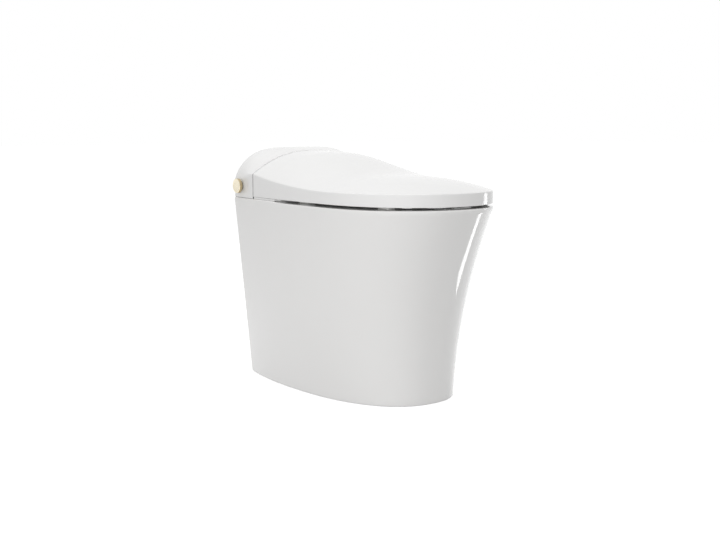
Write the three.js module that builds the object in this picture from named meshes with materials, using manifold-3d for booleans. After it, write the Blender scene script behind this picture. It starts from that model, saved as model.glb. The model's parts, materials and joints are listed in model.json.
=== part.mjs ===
// One-piece toilet with an electric bidet seat: a skirted ceramic body, and on its rear deck
// a seat unit with a lid, a heated seat, a washing wand, a warm-air dryer and a side knob.
//
// Millimetres. +Z is up, the nose of the bowl points to -Y and the wall side is +Y.
// The origin is on the floor, under the middle of the body.

import * as THREE from "three";
import { mergeVertices } from "three/addons/utils/BufferGeometryUtils.js";
import Module from "manifold-3d";

const wasm = await Module();
wasm.setup();

// ---------------------------------------------------------------- driving dimensions

const seatGap = 0.3; // gap between two pieces that rest on each other
const runGap = 0.3; // radial gap of a shaft in its bearing

// Ceramic body
const rimHeight = 440;
const ceramicWall = 12;
const deckThickness = 16;
const rimPlan = {
  front: 331,
  rear: 340.5,
  half: 196,
  widestAt: -76,
  rearHalf: 172.5,
  endPower: 2.32,
  sidePower: 2.21,
  corner: 18,
};
const footPlan = {
  front: 229.5,
  rear: 326,
  half: 166,
  widestAt: 98,
  rearHalf: 135.5,
  endPower: 2.58,
  sidePower: 2.3,
  corner: 18,
};
const noseFlare = 2.1; // how late the nose sweeps out between foot and rim
const sideFlare = 0.9;
const lipRadius = 3;
const footRound = 2;

// Bowl
const bowlFront = 258;
const bowlRear = 124;
const bowlHalf = 124;
const bowlCentre = -70;
const bowlWall = 11;
const sumpCentre = -45;
const sumpHalf = 36;
const sumpFloor = 172;
const sumpStretch = 8; // the sump is longer than wide by this much at each end

// Trapway and drain
const trapLeaves = -4; // where the trapway starts outside the basin
const trapBore = 26;
const trapWall = 10;
const drainCentre = 35;
const drainFoot = 14;
const drainPocket = 60; // half of the flat cut round the foot of the trapway
const sealWidth = 12;

// Openings in the deck and in the back wall
const tankHole = { half: 90, front: 226, rear: 308, corner: 14 };
const portHole = { x: 122, y: 284, radius: 17 };
const serviceHole = { half: 85, low: 110, high: 330, depth: 50 };

// Shells of lid and rear cover
const coverInset = 1.5; // lid and cover stand inside the rim by this much
const lidWall = 3.2;
const coverWall = 2.8;
const lidLift = 5; // shadow gap under the lid
const coverLift = 1.2;
const seamAt = 226;
const seamWidth = 2;
const lidEnd = 0.8; // the lid stops this far before the seam line

// The crown is the arch's highest line, the crease its lowest; both are heights above the rim.
const noseCrown = 64.5;
const crownHeight = 111.5;
const climbFrom = -107;
const climbTo = 156;
const coverRise = 17; // the crown climbs on over the rear cover
const riseFrom = 160;
const riseOver = 130;
const noseCrease = 33;
const lowCrease = 32.5;
const lowCreaseAt = -105;
const sideCrease = 59.5;
const rearCrease = 48.5;
const archPower = 2.14;
const rearArchPower = 5.5; // the arch grows squarer towards the rear wall
const roundOffAt = 229.5; // where the crown starts to roll over to the rear wall
const rollPower = 2.56;

// Hinge of lid and seat
const hingeBack = 27; // from the seam forward to the hinge line
const hingeDrop = 14.5; // from the crown down to the hinge line
const pinRadius = 4;
const pinRoot = 20; // the pins start this far from the middle
const towerHalf = 40;
const towerWall = 4;
const towerFoot = { reach: 36, wing: 16, thickness: 3.2 };
const armWidth = 9.4;
const lugWidth = 7.5;
const lugRadius = 8;
const barrelRadius = 9;
const eyeRadius = 8.4;
const damperRadius = 6;
const damperRoot = 6; // left solid between the two dampers

// Seat ring
const seatInset = 13;
const seatRear = 102;
const seatCorner = 16;
const seatLift = 11.5;
const seatThickness = 17;
const seatSplitRise = 7; // the two shells meet this far above the underside
const seatHoleFront = 236;
const seatHoleRear = 58;
const seatHoleHalf = 106;
const heaterThickness = 1;
const heaterMargin = 10;
const armRelief = 1; // the upper shell stands clear of the arms

// Bumpers: how far inside the seat's edge they stand, and where along the seat
const bumper = { inset: 21, half: 8, length: 26, corner: 6 };
const seatBumperAt = [-232, 18];
const lidBumperRadius = 7;
const lidBumperInset = 26;
const lidBumperAt = [-236, 40];

// Unit housing on its pan
const panThickness = 3.7;
const panInset = 10.5;
const panFront = 106;
const curbHeight = 6;
const curbWall = 3;
const curbLength = 60;
const notchHalf = 42;
const notchRear = 132;
const tankSlack = 3; // the tank hangs through the pan's opening, smaller than the deck's
const housingFront = 113;
const housingRear = 222;
const housingTop = 63; // above the rim
const housingHalf = 147;
const housingNoseHalf = 128;
const housingWall = 3;
const housingEdge = 34; // rounding of the long upper edges
const browFoot = 9;
const browDepth = 52;
const browPower = 2.2;
const bulkheadBack = 4; // behind the front edge of the cover
const bulkheadThickness = 2.5;

// Ports in the front of the housing, heights above the rim
const nozzlePort = { half: 13, high: 19 };
const dryerPort = { x0: 62, x1: 104, low: 9, high: 26 };
const windowPort = { x: -78, radius: 8, height: 24 };

// Washing wand with its rack and pinion
const wandTilt = 21; // degrees below level
const wandRadius = 6.5;
const wandTipAt = 118;
const wandTipHeight = 9; // tip centre above the rim
const wandLength = 165;
const capLength = 24;
const jetRadius = 0.7;
const gearModule = 1;
const pinionTeeth = 16;
const pinionAt = 48; // from the wand's tip, along the wand
const pitchLine = 3.5; // above the wand's axis
const backlash = 0.15;
const rackWidth = 4;
const rackBack = 5; // from the pitch line to the foot of the rack
const gearWidth = 5;
const motorShaft = 2.5;
const motorRadius = 14;
const motorLength = 20;
const guideFrom = 34;
const guideWall = 2.5;
const wandWindow = { left: 17, right: 24, low: 28, high: 84 };

// Warm-air dryer
const spindleRadius = 2.5;
const blower = { x0: 66, x1: 104, y: 194, height: 32, radius: 26 };
const wheelRadius = 20;
const blowerThroat = 40;
const blowerWall = 2.5;
const bladeCount = 10;
const bladeDepth = 4;
const bladeThickness = 1.2;
const ductWall = 2;
const flapThickness = 1.8;
const flapPinRadius = 1.3;

// Flush tank and pump, hanging through the deck
const tankFlange = { half: 94, front: 223, rear: 311, thickness: 3 };
const tankClear = 4.5;
const tankFloor = 268;
const pumpAt = 267;
const pumpNeck = 14;
const pumpRadius = 34;
const pumpLength = 84;

// Threaded water inlet and cord gland
const portRadius = 10.5;
const portDrop = 38; // how far the threaded stub hangs below the deck
const portFlange = 16;
const inletBore = 7.5;
const glandBore = 4;

// Works under the rear cover
const worksGap = 4; // between neighbours that don't touch
const heaterCase = { x0: 32, x1: 90, front: 240, rear: 304, height: 50, port: 5 };
const airPump = { x0: -88, x1: -40, front: 244, rear: 300, height: 30, radius: 15 };
const boardCase = { width: 38, front: 238, depth: 26, height: 46, wall: 2 };
const inletValve = { x0: 112, x1: 136, front: 238, depth: 20, height: 32, coil: 9 };
const deodoriser = { x0: -112, x1: -58, front: 150, rear: 212, height: 42, slots: 5 };

// Knob on the side of the cover
const knobAt = 290;
const knobHeight = 29;
const knobRadius = 17.5;
const knobProud = 12;
const knobTravel = 2;
const knobClearance = 0.6; // left between cap and cover when it is pushed in
const knobShaftRadius = 5;
const bezelRadius = 11;
const bezelDepth = 16;
const encoderHalf = 12;

// Brackets that hold the body to the floor
const bracket = { y: 150, half: 20, foot: 31, height: 46, thickness: 5, clearance: 0.6 };
const floorScrew = { radius: 3.6, head: 7, headHeight: 3.7, hole: 4, inset: 21 };

// Fineness of the curved forms
const noseSteps = 10;
const flankSteps = 5;
const cornerSteps = 3;
const archSteps = 14;
const bowlSteps = 24;
const trapSteps = 12;
const seatHoleSteps = 28;

// ---------------------------------------------------------------- solids and nodes

const group = new THREE.Group();

function material(color, roughness, metalness = 0) {
  return () => new THREE.MeshStandardMaterial({ color, roughness, metalness });
}

const finish = {
  ceramic: material("#f1f0ed", 0.08),
  shell: material("#f4f4f2", 0.16),
  innerShell: material("#e9e9e6", 0.3),
  brass: material("#d8b98c", 0.28, 1),
  steel: material("#b9bbbd", 0.3, 1),
  rubber: material("#e3e3e0", 0.7),
  darkRubber: material("#2e2f31", 0.75),
  darkPlastic: material("#3a3d41", 0.5),
  greyPlastic: material("#9ea2a6", 0.45),
  board: material("#1f6b45", 0.5),
  foil: material("#c9a46a", 0.4, 0.6),
  window: material("#20242a", 0.12),
  carbon: material("#1b1b1c", 0.9),
};

// Turns a closed geometry into a solid that can be joined and cut.
function solid(geometry) {
  const bare = geometry.clone();
  bare.deleteAttribute("normal");
  bare.deleteAttribute("uv");
  const welded = mergeVertices(bare, 1e-3);
  const corners = welded.index.array;
  const kept = [];
  for (let i = 0; i < corners.length; i += 3) {
    const [a, b, c] = [corners[i], corners[i + 1], corners[i + 2]];
    if (a !== b && b !== c && c !== a) {
      kept.push(a, b, c);
    }
  }
  return new wasm.Manifold(new wasm.Mesh({
    numProp: 3,
    vertProperties: new Float32Array(welded.attributes.position.array),
    triVerts: new Uint32Array(kept),
  }));
}

function asSolid(shape) {
  return shape.isBufferGeometry ? solid(shape) : shape;
}

function join(...shapes) {
  return shapes.map(asSolid).reduce((whole, next) => whole.add(next));
}

function cut(base, ...tools) {
  return [base, ...tools].map(asSolid).reduce((rest, tool) => rest.subtract(tool));
}

function common(first, second) {
  return asSolid(first).intersect(asSolid(second));
}

function addNode(name, shape, look) {
  const mesh = asSolid(shape).getMesh();
  const geometry = new THREE.BufferGeometry();
  const stride = mesh.numProp;
  const positions = new Float32Array(mesh.vertProperties.length / stride * 3);
  for (let i = 0; i < positions.length / 3; i += 1) {
    for (let k = 0; k < 3; k += 1) {
      positions[3 * i + k] = mesh.vertProperties[stride * i + k];
    }
  }
  geometry.setAttribute("position", new THREE.BufferAttribute(positions, 3));
  geometry.setIndex(new THREE.BufferAttribute(new Uint32Array(mesh.triVerts), 1));
  geometry.computeVertexNormals();
  const node = new THREE.Mesh(geometry, look());
  node.name = name;
  group.add(node);
}

// ---------------------------------------------------------------- basic shapes

// A box from its lowest corner to its highest.
function block(x0, x1, y0, y1, z0, z1) {
  const box = new THREE.BoxGeometry(x1 - x0, y1 - y0, z1 - z0);
  return box.translate((x0 + x1) / 2, (y0 + y1) / 2, (z0 + z1) / 2);
}

// A round bar from one point to another, the second radius at its far end.
function rod(from, to, radius, sides = 16, farRadius = radius) {
  const start = new THREE.Vector3(...from);
  const end = new THREE.Vector3(...to);
  const along = end.clone().sub(start);
  const bar = new THREE.CylinderGeometry(farRadius, radius, along.length(), sides);
  bar.translate(0, along.length() / 2, 0);
  const up = new THREE.Vector3(0, 1, 0);
  bar.applyQuaternion(new THREE.Quaternion().setFromUnitVectors(up, along.normalize()));
  return bar.translate(...from);
}

// A prism whose outline lies in the YZ plane, between two values of X.
function prismAcross(outline, x0, x1) {
  const shape = new THREE.Shape(outline.map(([y, z]) => new THREE.Vector2(y, z)));
  const prism = new THREE.ExtrudeGeometry(shape, { depth: x1 - x0, bevelEnabled: false });
  prism.applyMatrix4(new THREE.Matrix4().makeBasis(
    new THREE.Vector3(0, 1, 0),
    new THREE.Vector3(0, 0, 1),
    new THREE.Vector3(1, 0, 0),
  ));
  return prism.translate(x0, 0, 0);
}

// A prism whose outline lies in the XY plane, between two heights.
function prismUp(outline, z0, z1) {
  const shape = new THREE.Shape(outline.map(([x, y]) => new THREE.Vector2(x, y)));
  const prism = new THREE.ExtrudeGeometry(shape, { depth: z1 - z0, bevelEnabled: false });
  return prism.translate(0, 0, z0);
}

// A box with its four upright edges rounded.
function padBlock(x0, x1, y0, y1, z0, z1, radius, steps = 4) {
  const outline = [];
  const corners = [[x1, y1, 0], [x0, y1, 1], [x0, y0, 2], [x1, y0, 3]];
  for (const [x, y, quarter] of corners) {
    const cx = x + (x === x1 ? -radius : radius);
    const cy = y + (y === y1 ? -radius : radius);
    for (let i = 0; i <= steps; i += 1) {
      const angle = (quarter + i / steps) * Math.PI / 2;
      outline.push([cx + radius * Math.cos(angle), cy + radius * Math.sin(angle)]);
    }
  }
  return prismUp(outline, z0, z1);
}

// A round bar that follows a curve.
function pipeAlong(curve, radius, steps, sides) {
  const outline = [];
  for (let i = 0; i < sides; i += 1) {
    const angle = i / sides * 2 * Math.PI;
    outline.push(new THREE.Vector2(radius * Math.cos(angle), radius * Math.sin(angle)));
  }
  return new THREE.ExtrudeGeometry(new THREE.Shape(outline), {
    steps,
    bevelEnabled: false,
    extrudePath: curve,
  });
}

// A skin over a stack of equal closed rings, with flat caps seen along the given axis.
function loft(rings, axis = "z") {
  const count = rings[0].length;
  const positions = rings.flat().flatMap((p) => [p.x, p.y, p.z]);
  const faces = [];
  for (let k = 0; k + 1 < rings.length; k += 1) {
    for (let i = 0; i < count; i += 1) {
      const a = k * count + i;
      const b = k * count + (i + 1) % count;
      faces.push(a, b, b + count, a, b + count, a + count);
    }
  }
  const flat = (p) => (axis === "z" ? new THREE.Vector2(p.x, p.y) : new THREE.Vector2(p.x, p.z));
  const capStarts = [0, (rings.length - 1) * count];
  for (const start of capStarts) {
    const contour = rings[start / count].map(flat);
    const turned = (THREE.ShapeUtils.area(contour) < 0) === (start > 0);
    for (const [a, b, c] of THREE.ShapeUtils.triangulateShape(contour, [])) {
      faces.push(start + a, start + (turned ? c : b), start + (turned ? b : c));
    }
  }
  const geometry = new THREE.BufferGeometry();
  geometry.setAttribute("position", new THREE.Float32BufferAttribute(positions, 3));
  geometry.setIndex(faces);
  return facingOut(geometry);
}

function facingOut(geometry) {
  const position = geometry.attributes.position;
  const index = geometry.index;
  const [a, b, c] = [new THREE.Vector3(), new THREE.Vector3(), new THREE.Vector3()];
  let volume = 0;
  for (let i = 0; i < index.count; i += 3) {
    a.fromBufferAttribute(position, index.getX(i));
    b.fromBufferAttribute(position, index.getX(i + 1));
    c.fromBufferAttribute(position, index.getX(i + 2));
    volume += a.dot(b.cross(c));
  }
  if (volume < 0) {
    for (let i = 0; i < index.count; i += 3) {
      const second = index.getX(i + 1);
      index.setX(i + 1, index.getX(i + 2));
      index.setX(i + 2, second);
    }
  }
  return geometry;
}

// ---------------------------------------------------------------- plan of body and seat unit

function mix(a, b, share) {
  return a + (b - a) * share;
}

// The body's plan at a share of the way from foot to rim.
function bodyPlan(share) {
  const plan = {};
  for (const key of Object.keys(footPlan)) {
    plan[key] = mix(footPlan[key], rimPlan[key], share);
  }
  plan.front = mix(footPlan.front, rimPlan.front, share ** noseFlare);
  plan.half = mix(footPlan.half, rimPlan.half, share ** sideFlare);
  return plan;
}

function insetPlan(plan, inset) {
  return {
    ...plan,
    front: plan.front - inset,
    rear: plan.rear - inset,
    half: plan.half - inset,
    rearHalf: plan.rearHalf - inset,
    corner: Math.max(plan.corner - inset, 4),
  };
}

// Half width of a plan at a distance along Y, with its rear corner rounded.
function halfWidth(plan, y) {
  if (y <= plan.widestAt) {
    const reach = Math.min((plan.widestAt - y) / (plan.widestAt + plan.front), 1);
    return plan.half * (1 - reach ** plan.endPower) ** (1 / plan.sidePower);
  }
  const share = (y - plan.widestAt) / (plan.rear - plan.widestAt);
  const flank = plan.half - (plan.half - plan.rearHalf) * share ** 2;
  const into = y - (plan.rear - plan.corner);
  if (into <= 0) {
    return flank;
  }
  return flank - plan.corner + Math.sqrt(Math.max(plan.corner ** 2 - into ** 2, 0));
}

// Stations along Y from the nose to the rear edge, close together where the plan turns.
function planStations(plan) {
  const stations = [];
  for (let i = 0; i <= noseSteps; i += 1) {
    const angle = i / noseSteps * Math.PI / 2;
    const reach = Math.cos(angle) ** (2 / plan.endPower);
    stations.push(plan.widestAt - (plan.widestAt + plan.front) * reach);
  }
  const cornerStart = plan.rear - plan.corner;
  for (let i = 1; i <= flankSteps; i += 1) {
    stations.push(mix(plan.widestAt, cornerStart, i / flankSteps));
  }
  for (let i = 1; i <= cornerSteps; i += 1) {
    stations.push(cornerStart + plan.corner * Math.sin(i / cornerSteps * Math.PI / 2));
  }
  return stations;
}

// The closed outline of a plan, from the nose round the +X side.
function planOutline(plan) {
  const side = planStations(plan).map((y) => [halfWidth(plan, y), y]);
  const back = side.slice(1).reverse().map(([x, y]) => [-x, y]);
  return [...side, ...back];
}

function planRing(plan, z) {
  return planOutline(plan).map(([x, y]) => new THREE.Vector3(x, y, z));
}

// ---------------------------------------------------------------- outer form of lid and cover

const rim = rimHeight;
const behind = Math.max(rimPlan.rear, rimPlan.front) + 50; // clear of both ends of the body
const beside = rimPlan.half + 10;
const unitPlan = insetPlan(rimPlan, coverInset);

function smooth(share) {
  const t = Math.min(Math.max(share, 0), 1);
  return t * t * (3 - 2 * t);
}

// Height of the side wall's upper edge above the rim.
function creaseAt(y) {
  if (y < lowCreaseAt) {
    return mix(lowCrease, noseCrease, ((lowCreaseAt - y) / (lowCreaseAt + rimPlan.front)) ** 2);
  }
  if (y < seamAt) {
    return mix(lowCrease, sideCrease, ((y - lowCreaseAt) / (seamAt - lowCreaseAt)) ** 1.9);
  }
  return mix(sideCrease, rearCrease, ((y - seamAt) / (rimPlan.rear - seamAt)) ** 1.3);
}

// Height of the arch above the rim on the middle line.
function crownAt(y) {
  const rise = Math.min(Math.max((y - riseFrom) / riseOver, 0), 1.3) ** 2.5;
  return mix(noseCrown, crownHeight, smooth((y - climbFrom) / (climbTo - climbFrom)))
    + coverRise * rise;
}

// How much of the arch is left where the cover rolls over to its rear wall.
function rearFall(plan, y) {
  const share = Math.min(Math.max((y - roundOffAt) / (plan.rear - roundOffAt), 0), 1);
  return (1 - share ** rollPower) ** (1 / rollPower);
}

// Height of the upper skin above the rim at a place inside the plan.
function skinHeight(plan, x, y) {
  let reach = 0;
  let half = halfWidth(plan, y);
  if (y < plan.widestAt) {
    reach = (plan.widestAt - y) / (plan.widestAt + plan.front);
    half = plan.half;
  }
  const across = (Math.abs(x) / Math.max(half, 0.001)) ** plan.sidePower;
  const out = Math.min(Math.sqrt(across + reach ** plan.endPower), 1);
  const power = mix(archPower, rearArchPower, smooth((y - seamAt) / (plan.rear - seamAt)));
  const arch = 1 - out ** power;
  return creaseAt(y) + (crownAt(y) - creaseAt(y)) * rearFall(plan, y) * arch;
}

// One upright section of the shell across X, from the bottom edge over the arch and back.
function shellSection(plan, y, bottom, lowered) {
  const half = halfWidth(plan, y);
  const ring = [new THREE.Vector3(-half, y, bottom)];
  for (let i = 0; i <= archSteps; i += 1) {
    const x = -half * Math.cos(i / archSteps * Math.PI);
    ring.push(new THREE.Vector3(x, y, rim + skinHeight(plan, x, y) - lowered));
  }
  ring.push(new THREE.Vector3(half, y, bottom));
  return ring;
}

// The full shape under the skin between two stations, closed at the bottom.
function shellBody(inset, lowered, bottom, from, to) {
  const plan = insetPlan(unitPlan, inset);
  const tip = 0.35; // the nose section is this far from the very tip
  const first = Math.max(from, -plan.front + tip);
  const last = Math.min(to, plan.rear);
  const between = planStations(plan).filter((y) => y > first + 1 && y < last - 1);
  const falls = [];
  for (let i = 1; i < 6; i += 1) {
    falls.push(mix(roundOffAt, plan.rear, Math.sin(i / 6 * Math.PI / 2)));
  }
  const extra = falls.filter((y) => y > first + 1 && y < last - 1);
  const spaced = [...between, ...extra].sort((a, b) => a - b);
  const stations = [first];
  for (const y of spaced) {
    if (y - stations.at(-1) > 0.6) {
      stations.push(y);
    }
  }
  stations.push(last);
  return loft(stations.map((y) => shellSection(plan, y, bottom, lowered)), "y");
}

// ---------------------------------------------------------------- ceramic body

const outerLevels = [3, 75, 150, 225, 290, 345, 395, rimHeight - lipRadius];

function bodyRing(z, inset) {
  const share = Math.min(z / (rimHeight - lipRadius), 1);
  return planRing(insetPlan(bodyPlan(share), inset), z);
}

function skirt() {
  const rings = [bodyRing(0, footRound)];
  for (const z of outerLevels) {
    rings.push(bodyRing(z, 0));
  }
  rings.push(bodyRing(rimHeight - lipRadius * 0.3, lipRadius * 0.3));
  rings.push(bodyRing(rimHeight, lipRadius));
  return loft(rings);
}

function skirtHollow() {
  const levels = [0, 90, 180, 270, 345, rimHeight - deckThickness];
  const rings = levels.map((z) => bodyRing(z, ceramicWall));
  for (const point of rings[0]) {
    point.z = -1;
  }
  return loft(rings);
}

// The bowl narrows from its mouth to the sump; grow widens it by the wall.
function bowlRing(share, z, grow) {
  const ease = Math.sin(share * Math.PI / 2) ** 1.5;
  const front = mix(bowlFront, -sumpCentre + sumpHalf + sumpStretch, ease);
  const rear = mix(bowlRear, sumpCentre + sumpHalf + sumpStretch, ease);
  const plan = {
    front: front + grow,
    rear: rear + grow,
    half: mix(bowlHalf, sumpHalf, share ** 1.2) + grow,
    centre: mix(bowlCentre, sumpCentre, share),
  };
  const ring = [];
  for (let i = 0; i < bowlSteps; i += 1) {
    const angle = i / bowlSteps * 2 * Math.PI;
    const c = Math.cos(angle);
    const s = Math.sin(angle);
    const reach = c < 0 ? plan.centre + plan.front : plan.rear - plan.centre;
    ring.push(new THREE.Vector3(
      plan.half * Math.sign(s) * Math.abs(s) ** 0.93,
      plan.centre + reach * Math.sign(c) * Math.abs(c) ** 0.93,
      z,
    ));
  }
  return ring;
}

function bowlBody(grow, top, floor) {
  const shares = [0, 0.14, 0.33, 0.54, 0.75, 0.9, 1];
  const rings = shares.map((share) => bowlRing(share, mix(rimHeight, floor, share), grow));
  rings.unshift(bowlRing(0, top, grow));
  return loft(rings);
}

const trapPath = new THREE.CatmullRomCurve3([
  new THREE.Vector3(0, -30, 196),
  new THREE.Vector3(0, 40, 205),
  new THREE.Vector3(0, 96, 246),
  new THREE.Vector3(0, 136, 262),
  new THREE.Vector3(0, 162, 226),
  new THREE.Vector3(0, 150, 160),
  new THREE.Vector3(0, 96, 104),
  new THREE.Vector3(0, drainCentre + 6, 70),
  new THREE.Vector3(0, drainCentre, 0),
]);

// The casting is kept as three nodes: skirt with deck, basin, and trapway.
function skirtAndDeck() {
  const deckHole = padBlock(
    -tankHole.half, tankHole.half, tankHole.front, tankHole.rear,
    rimHeight - deckThickness - 1, rimHeight + 1, tankHole.corner,
  );
  const backHole = block(
    -serviceHole.half, serviceHole.half, rimPlan.rear - serviceHole.depth, rimPlan.rear + 1,
    serviceHole.low, serviceHole.high,
  );
  const ports = [-1, 1].map((side) => rod(
    [side * portHole.x, portHole.y, rimHeight - deckThickness - 1],
    [side * portHole.x, portHole.y, rimHeight + 1],
    portHole.radius,
  ));
  const basinSeat = bowlBody(bowlWall + seatGap, rimHeight + 1, sumpFloor - bowlWall - seatGap);
  return cut(skirt(), skirtHollow(), basinSeat, deckHole, backHole, ...ports);
}

function basin() {
  return cut(
    bowlBody(bowlWall, rimHeight, sumpFloor - bowlWall),
    bowlBody(0, rimHeight + 1, sumpFloor),
    pipeAlong(trapPath, trapBore, trapSteps, 10),
  );
}

function trapway() {
  return cut(
    pipeAlong(trapPath, trapBore + trapWall, trapSteps, 12),
    pipeAlong(trapPath, trapBore, trapSteps, 10),
    bowlBody(bowlWall + seatGap, rimHeight + 1, sumpFloor - bowlWall - seatGap),
    block(-drainPocket, drainPocket, -2 * drainPocket, trapLeaves, drainFoot, rimHeight),
    block(
      -drainPocket, drainPocket, drainCentre - drainPocket, drainCentre + drainPocket,
      -drainPocket, drainFoot,
    ),
  );
}

addNode("bowl_body", skirtAndDeck(), finish.ceramic);
addNode("bowl_basin", basin(), finish.ceramic);
addNode("trapway", trapway(), finish.ceramic);

// Rubber ring between the trapway's foot and the drain in the floor.
const sealOuter = trapBore + trapWall + sealWidth;
addNode("outlet_seal", cut(
  rod([0, drainCentre, 0], [0, drainCentre, drainFoot - seatGap], sealOuter, 24, sealOuter - 6),
  rod([0, drainCentre, -1], [0, drainCentre, drainFoot + 1], trapBore, 24),
), finish.darkRubber);

// ---------------------------------------------------------------- places in the seat unit

const unitFoot = rim + seatGap; // the pan stands on the ceramic deck
const panTop = unitFoot + panThickness;
const floorOfUnit = panTop + seatGap; // what stands on the pan starts here
const coverFront = seamAt + seamWidth;
const hingeY = seamAt - hingeBack;
const hingeZ = rim + crownHeight - hingeDrop;
const seatBottom = rim + seatLift;
const seatTop = seatBottom + seatThickness;
const housingRoof = rim + housingTop;
const sides = [["left", -1], ["right", 1]];

// ---------------------------------------------------------------- base pan

function panOutline() {
  const plan = insetPlan(rimPlan, panInset);
  const flank = planStations(plan).filter((y) => y > panFront + 1);
  const right = [panFront, ...flank].map((y) => [halfWidth(plan, y), y]);
  const left = right.slice().reverse().map(([x, y]) => [-x, y]);
  return [...right, ...left];
}

function basePan() {
  const outline = panOutline();
  const inner = insetPlan(rimPlan, panInset + curbWall);
  const curbRing = cut(
    prismUp(outline, panTop - 1, panTop + curbHeight),
    loft([panTop - 2, panTop + curbHeight + 1].map((z) => planRing(inner, z))),
    block(-beside, beside, housingFront + curbLength, behind, panTop - 2, panTop + curbHeight + 1),
  );
  return cut(
    join(prismUp(outline, unitFoot, panTop), curbRing),
    block(-notchHalf, notchHalf, panFront - 1, notchRear, unitFoot - 1, panTop + 20),
    padBlock(
      -tankHole.half + tankSlack, tankHole.half - tankSlack,
      tankHole.front + tankSlack, tankHole.rear - tankSlack,
      unitFoot - 1, panTop + 1, tankHole.corner - tankSlack,
    ),
    ...[-1, 1].map((side) => rod(
      [side * portHole.x, portHole.y, unitFoot - 1],
      [side * portHole.x, portHole.y, panTop + 1],
      portRadius + runGap,
    )),
  );
}

addNode("base_pan", basePan(), finish.shell);

// ---------------------------------------------------------------- rear cover and its bulkhead

const knobZ = rim + knobHeight;
const wallAtKnob = -halfWidth(unitPlan, knobAt);

function rearCover() {
  const outer = shellBody(0, 0, rim + coverLift, coverFront, behind);
  const inner = shellBody(coverWall, coverWall, rim - 5, coverFront - 20, behind);
  return cut(
    outer,
    inner,
    rod([wallAtKnob - 20, knobAt, knobZ], [wallAtKnob + 20, knobAt, knobZ], bezelRadius + runGap),
  );
}

addNode("rear_cover", rearCover(), finish.shell);

const bulkheadAt = coverFront + bulkheadBack;
const tankFlangeTop = floorOfUnit + tankFlange.thickness;

function bulkhead() {
  const inset = coverWall + 2 * seatGap;
  return cut(
    common(
      shellBody(inset, inset, floorOfUnit, coverFront - 20, behind),
      block(-beside, beside, bulkheadAt, bulkheadAt + bulkheadThickness, rim, rim + beside),
    ),
    block(
      -wandWindow.left, wandWindow.right, bulkheadAt - 1, bulkheadAt + 10,
      rim + wandWindow.low, rim + wandWindow.high,
    ),
    block(
      -tankFlange.half - 1, tankFlange.half + 1, bulkheadAt - 1, bulkheadAt + 10,
      rim, tankFlangeTop + seatGap,
    ),
  );
}

addNode("front_bulkhead", bulkhead(), finish.innerShell);

// ---------------------------------------------------------------- flush tank and pump

function flushTank() {
  return join(
    padBlock(-tankFlange.half, tankFlange.half, tankFlange.front, tankFlange.rear,
      floorOfUnit, tankFlangeTop, tankHole.corner),
    padBlock(-tankHole.half + tankClear, tankHole.half - tankClear,
      tankHole.front + tankClear, tankHole.rear - tankClear,
      tankFloor, floorOfUnit + 1, tankHole.corner - tankClear),
    rod([0, pumpAt, tankFloor - pumpNeck], [0, pumpAt, tankFloor + 1], pumpNeck),
  );
}

addNode("flush_tank", flushTank(), finish.greyPlastic);

const pumpTop = tankFloor - seatGap;
const pumpWaist = pumpTop - 0.62 * pumpLength;
const pumpOutlet = pumpTop - pumpRadius / 2;
addNode("flush_pump", cut(join(
  rod([0, pumpAt, pumpWaist], [0, pumpAt, pumpTop], pumpRadius, 24),
  rod([0, pumpAt, pumpTop - pumpLength], [0, pumpAt, pumpWaist + 1], 0.76 * pumpRadius, 24),
  rod([0, pumpAt, pumpOutlet], [1.5 * pumpRadius, pumpAt, pumpOutlet], pumpRadius / 4, 12),
), rod([0, pumpAt, pumpTop - pumpNeck - 1], [0, pumpAt, pumpTop + 1], pumpNeck + seatGap)),
finish.darkPlastic);

// ---------------------------------------------------------------- water inlet and cord gland

function portStub(side, bore) {
  const x = side * portHole.x;
  return cut(
    join(
      rod([x, portHole.y, rim - portDrop], [x, portHole.y, floorOfUnit + 1], portRadius),
      rod([x, portHole.y, floorOfUnit], [x, portHole.y, floorOfUnit + 4], portFlange, 6),
    ),
    rod([x, portHole.y, rim - portDrop - 1], [x, portHole.y, rim - portDrop + 26], bore),
  );
}

addNode("water_inlet", portStub(1, inletBore), finish.steel);
addNode("cord_gland", portStub(-1, glandBore), finish.darkPlastic);

// ---------------------------------------------------------------- housing in front of the seam

// The housing rises from its front foot in a rounded brow and then runs level.
function browHeight(y) {
  const share = Math.min((y - housingFront) / browDepth, 1);
  return mix(browFoot, housingTop, (1 - (1 - share) ** browPower) ** (1 / browPower));
}

function housingSection(y, inset) {
  const half = mix(housingNoseHalf, housingHalf, smooth((y - housingFront) / browDepth)) - inset;
  const top = rim + browHeight(y) - inset;
  const bottom = floorOfUnit - (inset > 0 ? 2 : 0);
  const radius = Math.min(housingEdge - inset, (top - bottom) * 0.8);
  const ring = [new THREE.Vector3(-half, y, bottom)];
  const steps = 5;
  for (let i = 0; i <= steps; i += 1) {
    const angle = i / steps * Math.PI / 2;
    ring.push(new THREE.Vector3(
      -half + radius * (1 - Math.cos(angle)), y, top - radius * (1 - Math.sin(angle)),
    ));
  }
  const mirrored = ring.slice().reverse().map((p) => new THREE.Vector3(-p.x, y, p.z));
  return [...ring, ...mirrored];
}

function housingForm(inset, from, to) {
  const offsets = [0, 2, 6, 12, 20, 30, 42, 54];
  const stations = offsets.map((d) => housingFront + d).filter((y) => y > from && y < to);
  return loft([from, ...stations, to].map((y) => housingSection(y, inset)), "y");
}

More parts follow.
